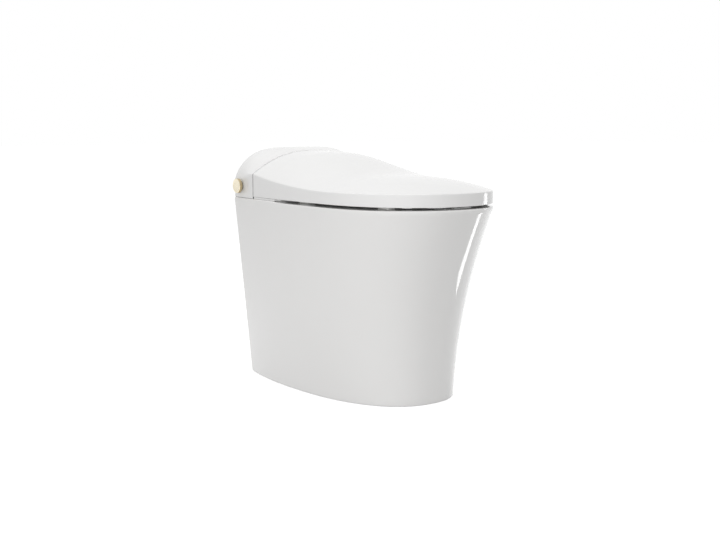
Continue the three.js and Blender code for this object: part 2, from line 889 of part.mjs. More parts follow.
function unitHousing() {
  const outer = housingForm(0, housingFront, housingRear);
  const inner = housingForm(housingWall, housingFront + housingWall, housingRear + 20);
  return cut(
    outer,
    inner,
    block(-nozzlePort.half, nozzlePort.half, housingFront - 5, housingFront + 16,
      rim - 2, rim + nozzlePort.high),
    block(dryerPort.x0, dryerPort.x1, housingFront - 5, housingFront + 16,
      rim + dryerPort.low, rim + dryerPort.high),
    rod([windowPort.x, housingFront - 5, rim + windowPort.height],
      [windowPort.x, housingFront + 16, rim + windowPort.height], windowPort.radius),
  );
}

addNode("unit_housing", unitHousing(), finish.shell);

addNode("occupancy_window", rod(
  [windowPort.x, housingFront + 1.2, rim + windowPort.height],
  [windowPort.x, housingFront + 5, rim + windowPort.height],
  windowPort.radius - runGap,
), finish.window);

// ---------------------------------------------------------------- hinge line

function circle(y, z, radius, from = 0, to = 360, steps = 20) {
  const points = [];
  for (let i = 0; i <= steps; i += 1) {
    const angle = THREE.MathUtils.degToRad(mix(from, to, i / steps));
    points.push([y + radius * Math.cos(angle), z + radius * Math.sin(angle)]);
  }
  return to - from === 360 ? points.slice(0, -1) : points;
}

function hingeTower() {
  const neck = [
    ...circle(hingeY, hingeZ, barrelRadius, 0, 180, 12),
    [hingeY - barrelRadius, hingeZ - 12],
    [hingeY - 34, housingRoof + 4],
    [hingeY - 34, housingRoof + seatGap],
    [hingeY + 3, housingRoof + seatGap],
    [hingeY + 3, hingeZ - 14],
    [hingeY + 7, hingeZ - 6],
  ];
  const bores = sides.map(([, side]) => rod(
    [side * damperRoot, hingeY, hingeZ], [side * (towerHalf + 1), hingeY, hingeZ],
    damperRadius + seatGap,
  ));
  const hollow = prismAcross([
    [hingeY - 26, housingRoof - 1], [hingeY - 4, housingRoof - 1],
    [hingeY - 4, hingeZ - 13], [hingeY - 10, hingeZ - 15],
  ], -towerHalf + towerWall, towerHalf - towerWall);
  const foot = housingRoof + seatGap;
  const base = block(
    -towerHalf - towerFoot.wing, towerHalf + towerFoot.wing,
    hingeY - towerFoot.reach, hingeY + 3, foot, foot + towerFoot.thickness,
  );
  return cut(join(prismAcross(neck, -towerHalf, towerHalf), base), hollow, ...bores);
}

addNode("hinge_tower", hingeTower(), finish.innerShell);

for (const [name, side] of sides) {
  addNode(`damper_${name}`, cut(
    rod([side * (damperRoot + seatGap), hingeY, hingeZ],
      [side * (towerHalf - 0.5), hingeY, hingeZ], damperRadius, 16),
    rod([side * pinRoot, hingeY, hingeZ], [side * towerHalf, hingeY, hingeZ],
      pinRadius + seatGap, 16),
  ), finish.darkPlastic);
  addNode(`hinge_pin_${name}`, rod(
    [side * (pinRoot + seatGap), hingeY, hingeZ],
    [side * (towerHalf + armWidth + lugWidth + 2 * runGap), hingeY, hingeZ],
    pinRadius, 16,
  ), finish.steel);
}

// ---------------------------------------------------------------- seat ring

const seatPlan = insetPlan(rimPlan, seatInset);

function seatOutline(inset) {
  const plan = insetPlan(seatPlan, inset);
  const free = planStations(seatPlan).filter((y) => y < seatRear - seatCorner - 8);
  const stations = planStations(plan).slice(0, free.length);
  const halfRear = halfWidth(plan, seatRear - inset - seatCorner);
  const right = stations.map((y) => [halfWidth(plan, y), y]);
  for (let i = 0; i <= 4; i += 1) {
    const angle = i / 4 * Math.PI / 2;
    right.push([
      halfRear - seatCorner + seatCorner * Math.cos(angle),
      seatRear - inset - seatCorner + seatCorner * Math.sin(angle),
    ]);
  }
  const left = right.slice(1).reverse().map(([x, y]) => [-x, y]);
  return [...right, ...left];
}

function holeOutline(grow) {
  const centre = (seatHoleRear - seatHoleFront) / 2;
  const reach = (seatHoleRear + seatHoleFront) / 2 + grow;
  const points = [];
  for (let i = 0; i < seatHoleSteps; i += 1) {
    const angle = i / seatHoleSteps * 2 * Math.PI;
    const s = Math.sin(angle);
    const c = Math.cos(angle);
    const taper = 1 + 0.06 * c;
    points.push([
      (seatHoleHalf + grow) * taper * Math.sign(s) * Math.abs(s) ** 0.9,
      centre - reach * Math.sign(c) * Math.abs(c) ** 0.95,
    ]);
  }
  return points;
}

function ringAt(outline, z) {
  return outline.map(([x, y]) => new THREE.Vector3(x, y, z));
}

const seatSplit = seatBottom + seatSplitRise;

// Upper shell of the seat: crowned, with both edges rounded over.
function seatUpper() {
  const outer = loft([
    ringAt(seatOutline(0), seatSplit + heaterThickness + 2 * seatGap),
    ringAt(seatOutline(0.4), seatTop - 5),
    ringAt(seatOutline(2.2), seatTop - 1.6),
    ringAt(seatOutline(6), seatTop),
  ]);
  const hole = loft([
    ringAt(holeOutline(0), seatSplit - 1),
    ringAt(holeOutline(0), seatTop - 6),
    ringAt(holeOutline(3), seatTop - 2),
    ringAt(holeOutline(9), seatTop + 0.5),
  ]);
  return cut(outer, hole);
}

// Hinge arms rise from the rear of the lower shell and curve back to the hinge line.
function seatArm(side) {
  const inner = towerHalf + runGap;
  const x0 = side > 0 ? inner : -inner - armWidth;
  const curve = new THREE.CatmullRomCurve3([
    new THREE.Vector3(0, hingeY, hingeZ),
    new THREE.Vector3(0, hingeY - 29, hingeZ - 2),
    new THREE.Vector3(0, hingeY - 59, hingeZ - 13),
    new THREE.Vector3(0, hingeY - 84, hingeZ - 36),
    new THREE.Vector3(0, seatRear - 5, seatBottom + 10),
    new THREE.Vector3(0, seatRear - 10, seatBottom + 2),
  ]);
  const upper = [];
  const lower = [];
  const steps = 14;
  for (let i = 0; i <= steps; i += 1) {
    const at = curve.getPointAt(i / steps);
    const along = curve.getTangentAt(i / steps);
    const thick = mix(4, 5, i / steps);
    upper.push([at.y + along.z * thick, at.z - along.y * thick]);
    lower.push([at.y - along.z * thick, at.z + along.y * thick]);
  }
  const blade = prismAcross([...upper, ...lower.reverse()], x0, x0 + armWidth);
  const eye = rod([x0, hingeY, hingeZ], [x0 + armWidth, hingeY, hingeZ], eyeRadius);
  return join(blade, eye);
}

function seatLower() {
  const tray = loft([
    ringAt(seatOutline(3), seatBottom),
    ringAt(seatOutline(0.3), seatBottom + 2.5),
    ringAt(seatOutline(0.3), seatSplit),
  ]);
  const hole = loft([
    ringAt(holeOutline(3), seatBottom - 1),
    ringAt(holeOutline(0), seatBottom + 3),
    ringAt(holeOutline(0), seatSplit + 1),
  ]);
  const arms = sides.map(([, side]) => seatArm(side));
  const bore = rod([-100, hingeY, hingeZ], [100, hingeY, hingeZ], pinRadius + runGap, 16);
  return cut(join(cut(tray, hole), ...arms), bore);
}

// The upper shell is cut back round the arms.
function armClearance() {
  return sides.map(([, side]) => {
    const inner = towerHalf + runGap - armRelief;
    const width = armWidth + 2 * armRelief;
    const x0 = side > 0 ? inner : -inner - width;
    return block(x0, x0 + width, seatRear - 19, seatRear + 5, seatSplit, seatTop + 5);
  });
}

addNode("seat_lower_shell", seatLower(), finish.shell);
addNode("seat_upper_shell", cut(seatUpper(), ...armClearance()), finish.shell);

function heaterSheet() {
  const z0 = seatSplit + seatGap;
  const z1 = z0 + heaterThickness;
  return cut(
    loft([ringAt(seatOutline(heaterMargin), z0), ringAt(seatOutline(heaterMargin), z1)]),
    loft([ringAt(holeOutline(heaterMargin), z0 - 1), ringAt(holeOutline(heaterMargin), z1 + 1)]),
    ...armClearance(),
  );
}

addNode("seat_heater", heaterSheet(), finish.foil);

// Four places, front and rear on both sides, that far inside a plan's edge.
function bumperPlaces(plan, inset, [front, rear]) {
  const places = [];
  for (const [row, y] of [["front", front], ["rear", rear]]) {
    for (const [name, side] of sides) {
      places.push([`${row}_${name}`, side * (halfWidth(plan, y) - inset), y]);
    }
  }
  return places;
}

// Four bumpers hold the closed seat off the ceramic.
for (const [name, x, y] of bumperPlaces(seatPlan, bumper.inset, seatBumperAt)) {
  addNode(`seat_bumper_${name}`, padBlock(
    x - bumper.half, x + bumper.half, y - bumper.length / 2, y + bumper.length / 2,
    rim + seatGap, seatBottom - seatGap, bumper.corner, 3,
  ), finish.rubber);
}

// ---------------------------------------------------------------- lid

function lidLug(side) {
  const inner = towerHalf + armWidth + 2 * runGap;
  const x0 = side > 0 ? inner : -inner - lugWidth;
  const outline = [
    [hingeY - 30, hingeZ + 30],
    [hingeY - 30, hingeZ + 8],
    ...circle(hingeY, hingeZ, lugRadius, 200, 340, 8),
    [hingeY + 12, hingeZ + 6],
    [hingeY + 16, hingeZ + 30],
  ];
  return prismAcross(outline, x0, x0 + lugWidth);
}

function lidShell() {
  const outer = shellBody(0, 0, rim + lidLift, -behind, seamAt - lidEnd);
  const inner = shellBody(lidWall, lidWall + 0.2, rim - 5, -behind, seamAt + 20);
  const lugs = sides.map(([, side]) => common(lidLug(side), outer));
  const reach = towerHalf + armWidth + lugWidth + 3 * runGap;
  const bore = rod([-reach, hingeY, hingeZ], [reach, hingeY, hingeZ], pinRadius + runGap, 16);
  return cut(join(cut(outer, inner), ...lugs), bore);
}

addNode("lid", lidShell(), finish.shell);

// Bumpers under the lid rest on the closed seat.
const lidPlan = insetPlan(unitPlan, lidWall);
const underLid = shellBody(lidWall, lidWall + 0.2 + seatGap, rim - 5, -behind, seamAt + 20);

for (const [name, x, y] of bumperPlaces(seatPlan, lidBumperInset, lidBumperAt)) {
  const reach = rim + skinHeight(lidPlan, x, y) + 10;
  const stem = rod([x, y, seatTop + seatGap], [x, y, reach], lidBumperRadius, 16);
  addNode(`lid_bumper_${name}`, common(stem, underLid), finish.rubber);
}

// ---------------------------------------------------------------- washing wand

const tilt = THREE.MathUtils.degToRad(wandTilt);
const wandTip = new THREE.Vector3(0, wandTipAt, rim + wandTipHeight);

// Turns a shape drawn along +Y, with its tip at the origin, into the wand's line.
function onWand(geometry) {
  return geometry.rotateX(tilt).translate(wandTip.x, wandTip.y, wandTip.z);
}

function alongWand(distance, above = 0) {
  return [
    wandTip.y + distance * Math.cos(tilt) - above * Math.sin(tilt),
    wandTip.z + distance * Math.sin(tilt) + above * Math.cos(tilt),
  ];
}

addNode("nozzle_wand", onWand(rod(
  [0, capLength + seatGap, 0], [0, wandLength, 0], wandRadius, 20,
)), finish.innerShell);

function nozzleTip() {
  const cap = join(
    rod([0, 3, 0], [0, capLength, 0], wandRadius, 20),
    rod([0, 0, 0], [0, 3.01, 0], wandRadius - 2, 20, wandRadius),
  );
  const jets = [];
  for (const y of [7, 12]) {
    for (const x of [-2, 2]) {
      jets.push(rod([x, y, wandRadius - 3], [x, y, wandRadius + 1], jetRadius, 6));
    }
  }
  return cut(cap, ...jets);
}

function placedOnWand(shape) {
  const matrix = new THREE.Matrix4().makeRotationX(tilt).setPosition(wandTip);
  return shape.transform(matrix.toArray());
}

addNode("nozzle_tip", placedOnWand(nozzleTip()), finish.shell);

// Rack on the side of the wand, teeth up, with the pinion above it.
const rackX = wandRadius + seatGap;
const pitch = Math.PI * gearModule;
const rackFrom = pinionAt - 2 * pitch;
const toothRise = 0.9 * gearModule;
const toothDip = 1.15 * gearModule;

function rack() {
  const count = Math.floor((wandLength - 2 - rackFrom) / pitch);
  const footHalf = 0.34 * pitch;
  const tipHalf = 0.13 * pitch;
  const outline = [[rackFrom, pitchLine - rackBack], [rackFrom, pitchLine - toothDip]];
  for (let i = 0; i < count; i += 1) {
    const middle = pinionAt + (i - 1.5) * pitch;
    outline.push(
      [middle - footHalf, pitchLine - toothDip],
      [middle - tipHalf, pitchLine + toothRise],
      [middle + tipHalf, pitchLine + toothRise],
      [middle + footHalf, pitchLine - toothDip],
    );
  }
  const end = rackFrom + (count + 0.5) * pitch;
  outline.push([end, pitchLine - toothDip], [end, pitchLine - rackBack]);
  return onWand(prismAcross(outline, rackX, rackX + rackWidth));
}

addNode("wand_rack", rack(), finish.greyPlastic);

const pinionRadius = gearModule * pinionTeeth / 2;
const [pinionY, pinionZ] = alongWand(pinionAt, pitchLine + pinionRadius + backlash);
const pinionX = rackX - 0.5;

// Straight-flanked teeth, one of them pointing down into the rack at rest.
function pinion() {
  const points = [];
  const half = Math.PI / pinionTeeth;
  for (let i = 0; i < pinionTeeth; i += 1) {
    const middle = i * 2 * half - Math.PI / 2 + tilt;
    const flanks = [
      [-0.62, pinionRadius - toothDip], [-0.42, pinionRadius], [-0.18, pinionRadius + toothRise],
      [0.18, pinionRadius + toothRise], [0.42, pinionRadius], [0.62, pinionRadius - toothDip],
    ];
    for (const [share, radius] of flanks) {
      const angle = middle + share * half;
      points.push([pinionY + radius * Math.cos(angle), pinionZ + radius * Math.sin(angle)]);
    }
  }
  return cut(
    prismAcross(points, pinionX, pinionX + gearWidth),
    rod([pinionX - 1, pinionY, pinionZ], [pinionX + gearWidth + 1, pinionY, pinionZ],
      motorShaft + runGap, 16),
  );
}

addNode("drive_pinion", pinion(), finish.greyPlastic);

const motorX = pinionX + gearWidth + 0.6;
addNode("wand_motor", join(
  rod([motorX, pinionY, pinionZ], [motorX + motorLength, pinionY, pinionZ], motorRadius, 20),
  rod([pinionX, pinionY, pinionZ], [motorX + 1, pinionY, pinionZ], motorShaft, 16),
  block(motorX + 3, motorX + motorLength - 3, pinionY - 9, pinionY + 9, floorOfUnit, pinionZ - 8),
), finish.steel);

// The wand slides in a channel that stands on the pan.
function wandGuide() {
  const clear = wandRadius + runGap;
  const from = guideFrom;
  const wall = guideWall;
  const channel = cut(
    block(-clear - wall, clear, from, wandLength - 12, -clear - wall, 3),
    rod([0, from - 1, 0], [0, wandLength, 0], clear, 20),
    block(-clear, clear + 1, from - 1, wandLength, 0, 10),
    block(0, clear + 1, from - 1, wandLength, -clear + 3, 10),
  );
  const [y0, z0] = alongWand(from + 6, -clear - 1);
  const [y1, z1] = alongWand(from + 42, -clear - 1);
  const web = prismAcross([
    [y0, floorOfUnit], [y1, floorOfUnit], [y1, z1], [y0, z0],
  ], -clear - wall, -clear + 6);
  return join(placedOnWand(channel), web);
}

addNode("wand_guide", wandGuide(), finish.innerShell);

// ---------------------------------------------------------------- dryer

const blowerZ = rim + blower.height;

function blowerCasing() {
  const { x0, x1, y, radius } = blower;
  const z = blowerZ;
  const wall = blowerWall;
  const scroll = join(
    rod([x0, y, z], [x1, y, z], radius, 24),
    block(x0, x1, y - blowerThroat, y, z - radius + 0.5, z - 6),
    block(x0 + 4, x1 - 4, y - 16, y + 16, floorOfUnit, z - 20),
  );
  const spindle = rod([x0 + 1, y, z], [x1 - 14, y, z], spindleRadius, 12);
  return join(cut(
    scroll,
    rod([x0 + wall, y, z], [x1 + 1, y, z], wheelRadius + 1.5, 24),
    block(x0 + wall, x1 - wall, y - blowerThroat - 1, y, z - radius + 3, z - 6 - wall),
  ), spindle);
}

addNode("dryer_casing", blowerCasing(), finish.greyPlastic);

// Drum wheel with blades round its rim.
function blowerWheel() {
  const { x0, x1, y } = blower;
  const z = blowerZ;
  const wheel = wheelRadius;
  const left = x0 + blowerWall + 1.5;
  const right = x1 - 3;
  const ring = cut(
    rod([right - 2, y, z], [right, y, z], wheel, 20),
    rod([right - 3, y, z], [right + 1, y, z], wheel - bladeDepth, 20),
  );
  const blades = [];
  for (let i = 0; i < bladeCount; i += 1) {
    const turn = i / bladeCount * 2 * Math.PI;
    const blade = block(left, right, -bladeThickness / 2, bladeThickness / 2,
      wheel - bladeDepth - 0.2, wheel - 0.3);
    blades.push(blade.rotateX(turn).translate(0, y, z));
  }
  const wheelBody = join(
    rod([left, y, z], [left + 2, y, z], wheel, 20),
    rod([left, y, z], [right - 8, y, z], 6, 12),
    ring,
    ...blades,
  );
  return cut(wheelBody, rod([left - 1, y, z], [right, y, z], spindleRadius + runGap, 12));
}

addNode("dryer_wheel", blowerWheel(), finish.darkPlastic);

// Duct from the blower's mouth to the outlet in the front of the housing.
function dryerDuct() {
  const { x0, x1, y, radius } = blower;
  const z = blowerZ;
  const rearY = y - blowerThroat - seatGap;
  const frontY = housingFront + housingWall + 12;
  const rear = [x0, x1, z - radius + 0.5, z - 6];
  const front = [dryerPort.x0 + 2, dryerPort.x1 - 2, rim + dryerPort.low + 1, rim + dryerPort.high - 1];
  const section = ([left, right, low, high], at, wall) => [
    new THREE.Vector3(left + wall, at, low + wall),
    new THREE.Vector3(right - wall, at, low + wall),
    new THREE.Vector3(right - wall, at, high - wall),
    new THREE.Vector3(left + wall, at, high - wall),
  ];
  return cut(
    loft([section(front, frontY, 0), section(rear, rearY, 0)], "y"),
    loft([section(front, frontY - 0.1, ductWall), section(rear, rearY + 0.1, ductWall)], "y"),
  );
}

addNode("dryer_duct", dryerDuct(), finish.greyPlastic);

const flapTop = rim + dryerPort.high - 1;
const flapY = housingFront + 3;
addNode("dryer_flap", join(
  block(dryerPort.x0 + 1, dryerPort.x1 - 1, flapY - flapThickness / 2, flapY + flapThickness / 2,
    rim + dryerPort.low + 1.5, flapTop - 1.5),
  rod([dryerPort.x0 + runGap, flapY, flapTop - 1.5], [dryerPort.x1 - runGap, flapY, flapTop - 1.5],
    flapPinRadius, 12),
), finish.innerShell);

// ---------------------------------------------------------------- works under the covers

const shelf = tankFlangeTop + seatGap;

// Tank-type instant heater with its two water ports.
function waterHeater() {
  const { x0, x1, front, rear, height, port } = heaterCase;
  const y = (front + rear) / 2;
  const top = shelf + height;
  const ports = [x0 + 3 * port, x1 - 3 * port].map((x) => rod(
    [x, y, top - 1], [x, y, top + 2 * port], port, 12,
  ));
  return join(padBlock(x0, x1, front, rear, shelf, top, 2 * port), ...ports);
}

addNode("water_heater", waterHeater(), finish.steel);

function solenoidValve() {
  const { x0, x1, front, depth, height, coil } = inletValve;
  const x = (x0 + x1) / 2;
  const y = front + depth / 2;
  const top = floorOfUnit + height;
  const inlet = floorOfUnit + 0.6 * height;
  return join(
    padBlock(x0, x1, front, front + depth, floorOfUnit, top, worksGap, 3),
    rod([x, y, top - 1], [x, y, top + 2.4 * coil], coil, 16),
    rod([x, y, inlet], [x, front + 1.5 * depth, inlet], coil / 2, 12),
  );
}

addNode("inlet_valve", solenoidValve(), finish.darkPlastic);

function diaphragmPump() {
  const { x0, x1, front, rear, height, radius } = airPump;
  const x = (x0 + x1) / 2;
  const z = shelf + height + radius / 2;
  return join(
    padBlock(x0, x1, front, rear, shelf, shelf + height, 8, 3),
    rod([x, front + 8, z], [x, rear - 8, z], radius, 20),
  );
}

addNode("air_pump", diaphragmPump(), finish.darkPlastic);

// The open-topped case stands beside the tank's flange, and the board stands in it.
const caseEnd = -tankFlange.half - worksGap;
const caseStart = caseEnd - boardCase.width;
const caseRear = boardCase.front + boardCase.depth;

addNode("board_case", cut(
  padBlock(caseStart, caseEnd, boardCase.front, caseRear,
    floorOfUnit, floorOfUnit + boardCase.height, 4, 3),
  block(
    caseStart + boardCase.wall, caseEnd - boardCase.wall,
    boardCase.front + boardCase.wall, caseRear - boardCase.wall,
    floorOfUnit + boardCase.wall, floorOfUnit + boardCase.height + 1,
  ),
), finish.darkPlastic);

function controlBoard() {
  const foot = floorOfUnit + boardCase.wall + seatGap;
  const left = caseStart + 2 * boardCase.wall;
  const right = caseEnd - 2 * boardCase.wall;
  const face = boardCase.front + boardCase.depth / 3;
  const boardThickness = 1.6;
  const part = (from, to, proud, low, high) => block(
    mix(left, right, from), mix(left, right, to),
    face + boardThickness - 0.1, face + boardThickness + proud, foot + low, foot + high,
  );
  return join(
    block(left, right, face, face + boardThickness, foot, floorOfUnit + boardCase.height - 4),
    part(0.15, 0.5, 9, 6, 22),
    part(0.62, 0.88, 5, 8, 32),
  );
}

addNode("control_board", controlBoard(), finish.board);

// Carbon filter box with a row of air slots on its outer side.
function deodoriserBox() {
  const { x0, x1, front, rear, height, slots } = deodoriser;
  const slotPitch = (rear - front) / (slots + 1);
  const cuts = [];
  for (let i = 0; i < slots; i += 1) {
    const y = front + (i + 0.75) * slotPitch;
    cuts.push(block(x0 - 1, x0 + 3, y, y + slotPitch / 2,
      floorOfUnit + 0.2 * height, floorOfUnit + 0.8 * height));
  }
  return cut(padBlock(x0, x1, front, rear, floorOfUnit, floorOfUnit + height, 6), ...cuts);
}

addNode("deodoriser", deodoriserBox(), finish.carbon);

// ---------------------------------------------------------------- side knob

function knobBezel() {
  return cut(
    join(
      rod([wallAtKnob - 0.4, knobAt, knobZ], [wallAtKnob + bezelDepth, knobAt, knobZ],
        bezelRadius),
      rod([wallAtKnob + coverWall + 4.5, knobAt, knobZ],
        [wallAtKnob + coverWall + 7.5, knobAt, knobZ], bezelRadius + 5),
    ),
    rod([wallAtKnob - 5, knobAt, knobZ], [wallAtKnob + bezelDepth + 4, knobAt, knobZ],
      knobShaftRadius + runGap),
  );
}

addNode("knob_bezel", knobBezel(), finish.greyPlastic);

const knobFoot = -halfWidth(unitPlan, knobAt - knobRadius) - knobClearance - knobTravel;

// Dished, lightly fluted cap with a rounded edge.
function knobCap() {
  const r = knobRadius;
  const profile = [
    [0, 0], [r - 1, 0], [r, 1], [r, knobProud - 4], [r - 0.6, knobProud - 2.6],
    [r - 2, knobProud - 2], [r - 3.5, knobProud - 2.2], [0, knobProud - 2.8],
  ];
  const points = profile.map(([x, y]) => new THREE.Vector2(x, y));
  const body = new THREE.LatheGeometry(points, 24);
  return body.rotateZ(Math.PI / 2).translate(knobFoot, knobAt, knobZ);
}

addNode("knob_cap", knobCap(), finish.brass);

const shaftEnd = wallAtKnob + bezelDepth + 3;
const encoderFace = shaftEnd + knobTravel + seatGap;
addNode("knob_shaft", rod(
  [knobFoot + seatGap, knobAt, knobZ], [shaftEnd, knobAt, knobZ], knobShaftRadius, 16,
), finish.steel);

addNode("knob_encoder", join(
  block(encoderFace, encoderFace + encoderHalf, knobAt - encoderHalf, knobAt + encoderHalf,
    knobZ - encoderHalf, knobZ + encoderHalf),
  block(encoderFace + encoderHalf / 2, encoderFace + encoderHalf,
    knobAt - encoderHalf / 2, knobAt + encoderHalf / 2, floorOfUnit, knobZ),
), finish.darkPlastic);

// ---------------------------------------------------------------- floor brackets

// The bracket's upright stands clear of the skirt, which closes in towards its rear edge.
const bracketEnds = [bracket.y - bracket.half, bracket.y + bracket.half];
const insideFoot = insetPlan(bodyPlan(0), ceramicWall);
const insideWall = Math.min(...bracketEnds.map((y) => halfWidth(insideFoot, y)));
const uprightAt = insideWall - bracket.clearance;
const screwAt = uprightAt - floorScrew.inset;

function mirrored(shape, side) {
  return side > 0 ? asSolid(shape) : asSolid(shape).mirror([1, 0, 0]);
}

function floorBracket() {
  const { y, half, foot, height, thickness } = bracket;
  return cut(
    join(
      block(uprightAt - foot, uprightAt, y - half, y + half, 0, thickness),
      block(uprightAt - thickness, uprightAt, y - half, y + half, 0, height),
    ),
    rod([screwAt, y, -1], [screwAt, y, thickness + 4], floorScrew.hole, 16),
  );
}

function anchorScrew() {
  const { radius, head, headHeight } = floorScrew;
  const seat = bracket.thickness + seatGap;
  return join(
    rod([screwAt, bracket.y, 0.2], [screwAt, bracket.y, seat + 1], radius, 12),
    rod([screwAt, bracket.y, seat], [screwAt, bracket.y, seat + headHeight], head, 6),
  );
}

for (const [name, side] of sides) {
  addNode(`floor_bracket_${name}`, mirrored(floorBracket(), side), finish.steel);
  addNode(`floor_screw_${name}`, mirrored(anchorScrew(), side), finish.steel);
}

export default group;
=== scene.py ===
"""One-piece toilet with an electric bidet seat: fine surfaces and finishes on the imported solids."""

import json
import math
from dataclasses import astuple, dataclass
import bmesh
import bpy
import numpy as np
from mathutils import Matrix, Vector


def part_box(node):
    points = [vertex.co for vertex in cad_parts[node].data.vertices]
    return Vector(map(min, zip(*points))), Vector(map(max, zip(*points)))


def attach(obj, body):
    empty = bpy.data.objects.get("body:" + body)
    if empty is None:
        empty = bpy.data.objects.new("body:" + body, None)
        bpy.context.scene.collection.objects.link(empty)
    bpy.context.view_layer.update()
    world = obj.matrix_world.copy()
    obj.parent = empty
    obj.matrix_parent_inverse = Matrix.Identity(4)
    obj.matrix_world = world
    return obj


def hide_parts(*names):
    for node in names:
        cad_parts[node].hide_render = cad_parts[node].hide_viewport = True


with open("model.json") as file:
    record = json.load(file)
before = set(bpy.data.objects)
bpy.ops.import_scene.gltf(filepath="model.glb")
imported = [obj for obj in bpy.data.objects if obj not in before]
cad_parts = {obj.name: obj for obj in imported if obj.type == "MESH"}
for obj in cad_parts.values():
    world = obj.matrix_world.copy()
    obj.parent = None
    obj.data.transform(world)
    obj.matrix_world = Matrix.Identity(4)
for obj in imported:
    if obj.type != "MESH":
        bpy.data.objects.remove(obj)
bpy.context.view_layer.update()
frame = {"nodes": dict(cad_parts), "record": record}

MM = 0.001

# ---------------------------------------------------------------- camera

EYE_ROUND, EYE_ABOVE = -37, 7.3  # degrees from straight in front, and above level
EYE_AWAY, AIM_HEIGHT = 2.6724, 0.2772
LENS, SENSOR = 56.76, 36
SIDE_SHIFT = -0.0143055556  # a share of the frame's width


def point_at(thing, place, target):
    """Places a camera or lamp and turns it towards a point."""
    thing.location = place
    aim = Vector(target) - Vector(place)
    thing.rotation_euler = aim.to_track_quat("-Z", "Y").to_euler()


def direction(azimuth, elevation):
    """The way from the object towards a viewer, 0 degrees being in front of the nose."""
    a, e = math.radians(azimuth), math.radians(elevation)
    return Vector((math.sin(a) * math.cos(e), -math.cos(a) * math.cos(e), math.sin(e)))


def add_camera():
    data = bpy.data.cameras.new("camera")
    data.lens = LENS
    data.sensor_width = SENSOR
    data.shift_x = SIDE_SHIFT
    camera = bpy.data.objects.new("camera", data)
    bpy.context.scene.collection.objects.link(camera)
    target = Vector((0, 0, AIM_HEIGHT))
    point_at(camera, target + EYE_AWAY * direction(EYE_ROUND, EYE_ABOVE), target)
    bpy.context.scene.camera = camera


add_camera()

# ---------------------------------------------------------------- mesh helpers

WELD = 1e-6
CORE = 0.1 * MM  # a turned piece is closed at its ends by flat discs of this radius


def new_object(name, verts, faces):
    """A mesh object from points and faces, welded, with its faces turned outwards."""
    mesh = bpy.data.meshes.new(name)
    mesh.from_pydata([tuple(v) for v in verts], [], faces)
    bm = bmesh.new()
    bm.from_mesh(mesh)
    bmesh.ops.remove_doubles(bm, verts=bm.verts, dist=WELD)
    bmesh.ops.dissolve_degenerate(bm, edges=bm.edges, dist=WELD)
    bmesh.ops.recalc_face_normals(bm, faces=bm.faces)
    bm.to_mesh(mesh)
    bm.free()
    thing = bpy.data.objects.new(name, mesh)
    bpy.context.scene.collection.objects.link(thing)
    return thing


def finished(thing, sharp=35):
    """Smooth shading with creases only where the surface really turns."""
    mesh = thing.data
    mesh.polygons.foreach_set("use_smooth", [True] * len(mesh.polygons))
    mesh.set_sharp_from_angle(angle=math.radians(sharp))
    return thing


def baked(thing):
    """Turns an object's modifiers into plain mesh."""
    bpy.context.view_layer.update()
    graph = bpy.context.evaluated_depsgraph_get()
    mesh = bpy.data.meshes.new_from_object(thing.evaluated_get(graph))
    thing.modifiers.clear()
    old = thing.data
    thing.data = mesh
    bpy.data.meshes.remove(old)
    return thing


def bevelled(thing, width, sharp, steps=2):
    """Rounds the edges that are sharper than an angle."""
    bevel = thing.modifiers.new("edges", "BEVEL")
    bevel.width = width
    bevel.segments = steps
    bevel.limit_method = "ANGLE"
    bevel.angle_limit = math.radians(sharp)
    return baked(thing)


def combine(base, tool, operation="DIFFERENCE"):
    """Cuts, joins or intersects base with tool, which is used up."""
    step = base.modifiers.new("combine", "BOOLEAN")
    step.operation = operation
    step.solver = "MANIFOLD"
    step.object = tool
    baked(base)
    bpy.data.objects.remove(tool)
    return base


def cut(base, *tools):
    for tool in tools:
        combine(base, tool)
    return base


def join(base, *tools):
    for tool in tools:
        combine(base, tool, "UNION")
    return base


def loft(name, rings, closed=False):
    """A closed skin over rings of equal counts; a closed loft has no caps."""
    rings = np.asarray(rings, float)
    rows, count = rings.shape[:2]
    faces = []
    for k in range(rows if closed else rows - 1):
        low, high = k * count, (k + 1) % rows * count
        for i in range(count):
            j = (i + 1) % count
            faces.append((low + i, low + j, high + j, high + i))
    if not closed:
        faces.append(tuple(range(count)))
        faces.append(tuple(range((rows - 1) * count, rows * count)))
    return new_object(name, rings.reshape(-1, 3), faces)


def box_tool(low, high):
    (x0, y0, z0), (x1, y1, z1) = low, high
    lower = [(x0, y0, z0), (x1, y0, z0), (x1, y1, z0), (x0, y1, z0)]
    return loft("tool", [lower, [(x, y, z1) for x, y, _ in lower]])


def full_turn(count):
    """Even angles round a circle."""
    return np.arange(count) * 2 * math.pi / count


def turned(name, profile, start, axis, sides=96, hollow=False):
    """A body of revolution: profile holds (radius, distance along the axis) pairs.

    A hollow one has a profile that runs back to its start and no ends to close."""
    start, turn = Vector(start), Vector(axis).to_track_quat("Z", "Y").to_matrix()
    rings = []
    for radius, along in profile:
        circle = [(radius * math.cos(a), radius * math.sin(a), along) for a in full_turn(sides)]
        rings.append([tuple(start + turn @ Vector(point)) for point in circle])
    return loft(name, rings, hollow)


def rod_tool(start, end, radius, sides=64):
    """A round bar between two points."""
    start, end = Vector(start), Vector(end)
    turn = (end - start).to_track_quat("Z", "Y").to_matrix()
    rings = []
    for centre in (start, end):
        circle = [(radius * math.cos(a), radius * math.sin(a), 0) for a in full_turn(sides)]
        rings.append([tuple(centre + turn @ Vector(point)) for point in circle])
    return loft("tool", rings)


def span(node):
    """A solid's lowest corner, highest corner and middle."""
    low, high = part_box(node)
    return low, high, (low + high) / 2


def middle(node):
    return span(node)[2]


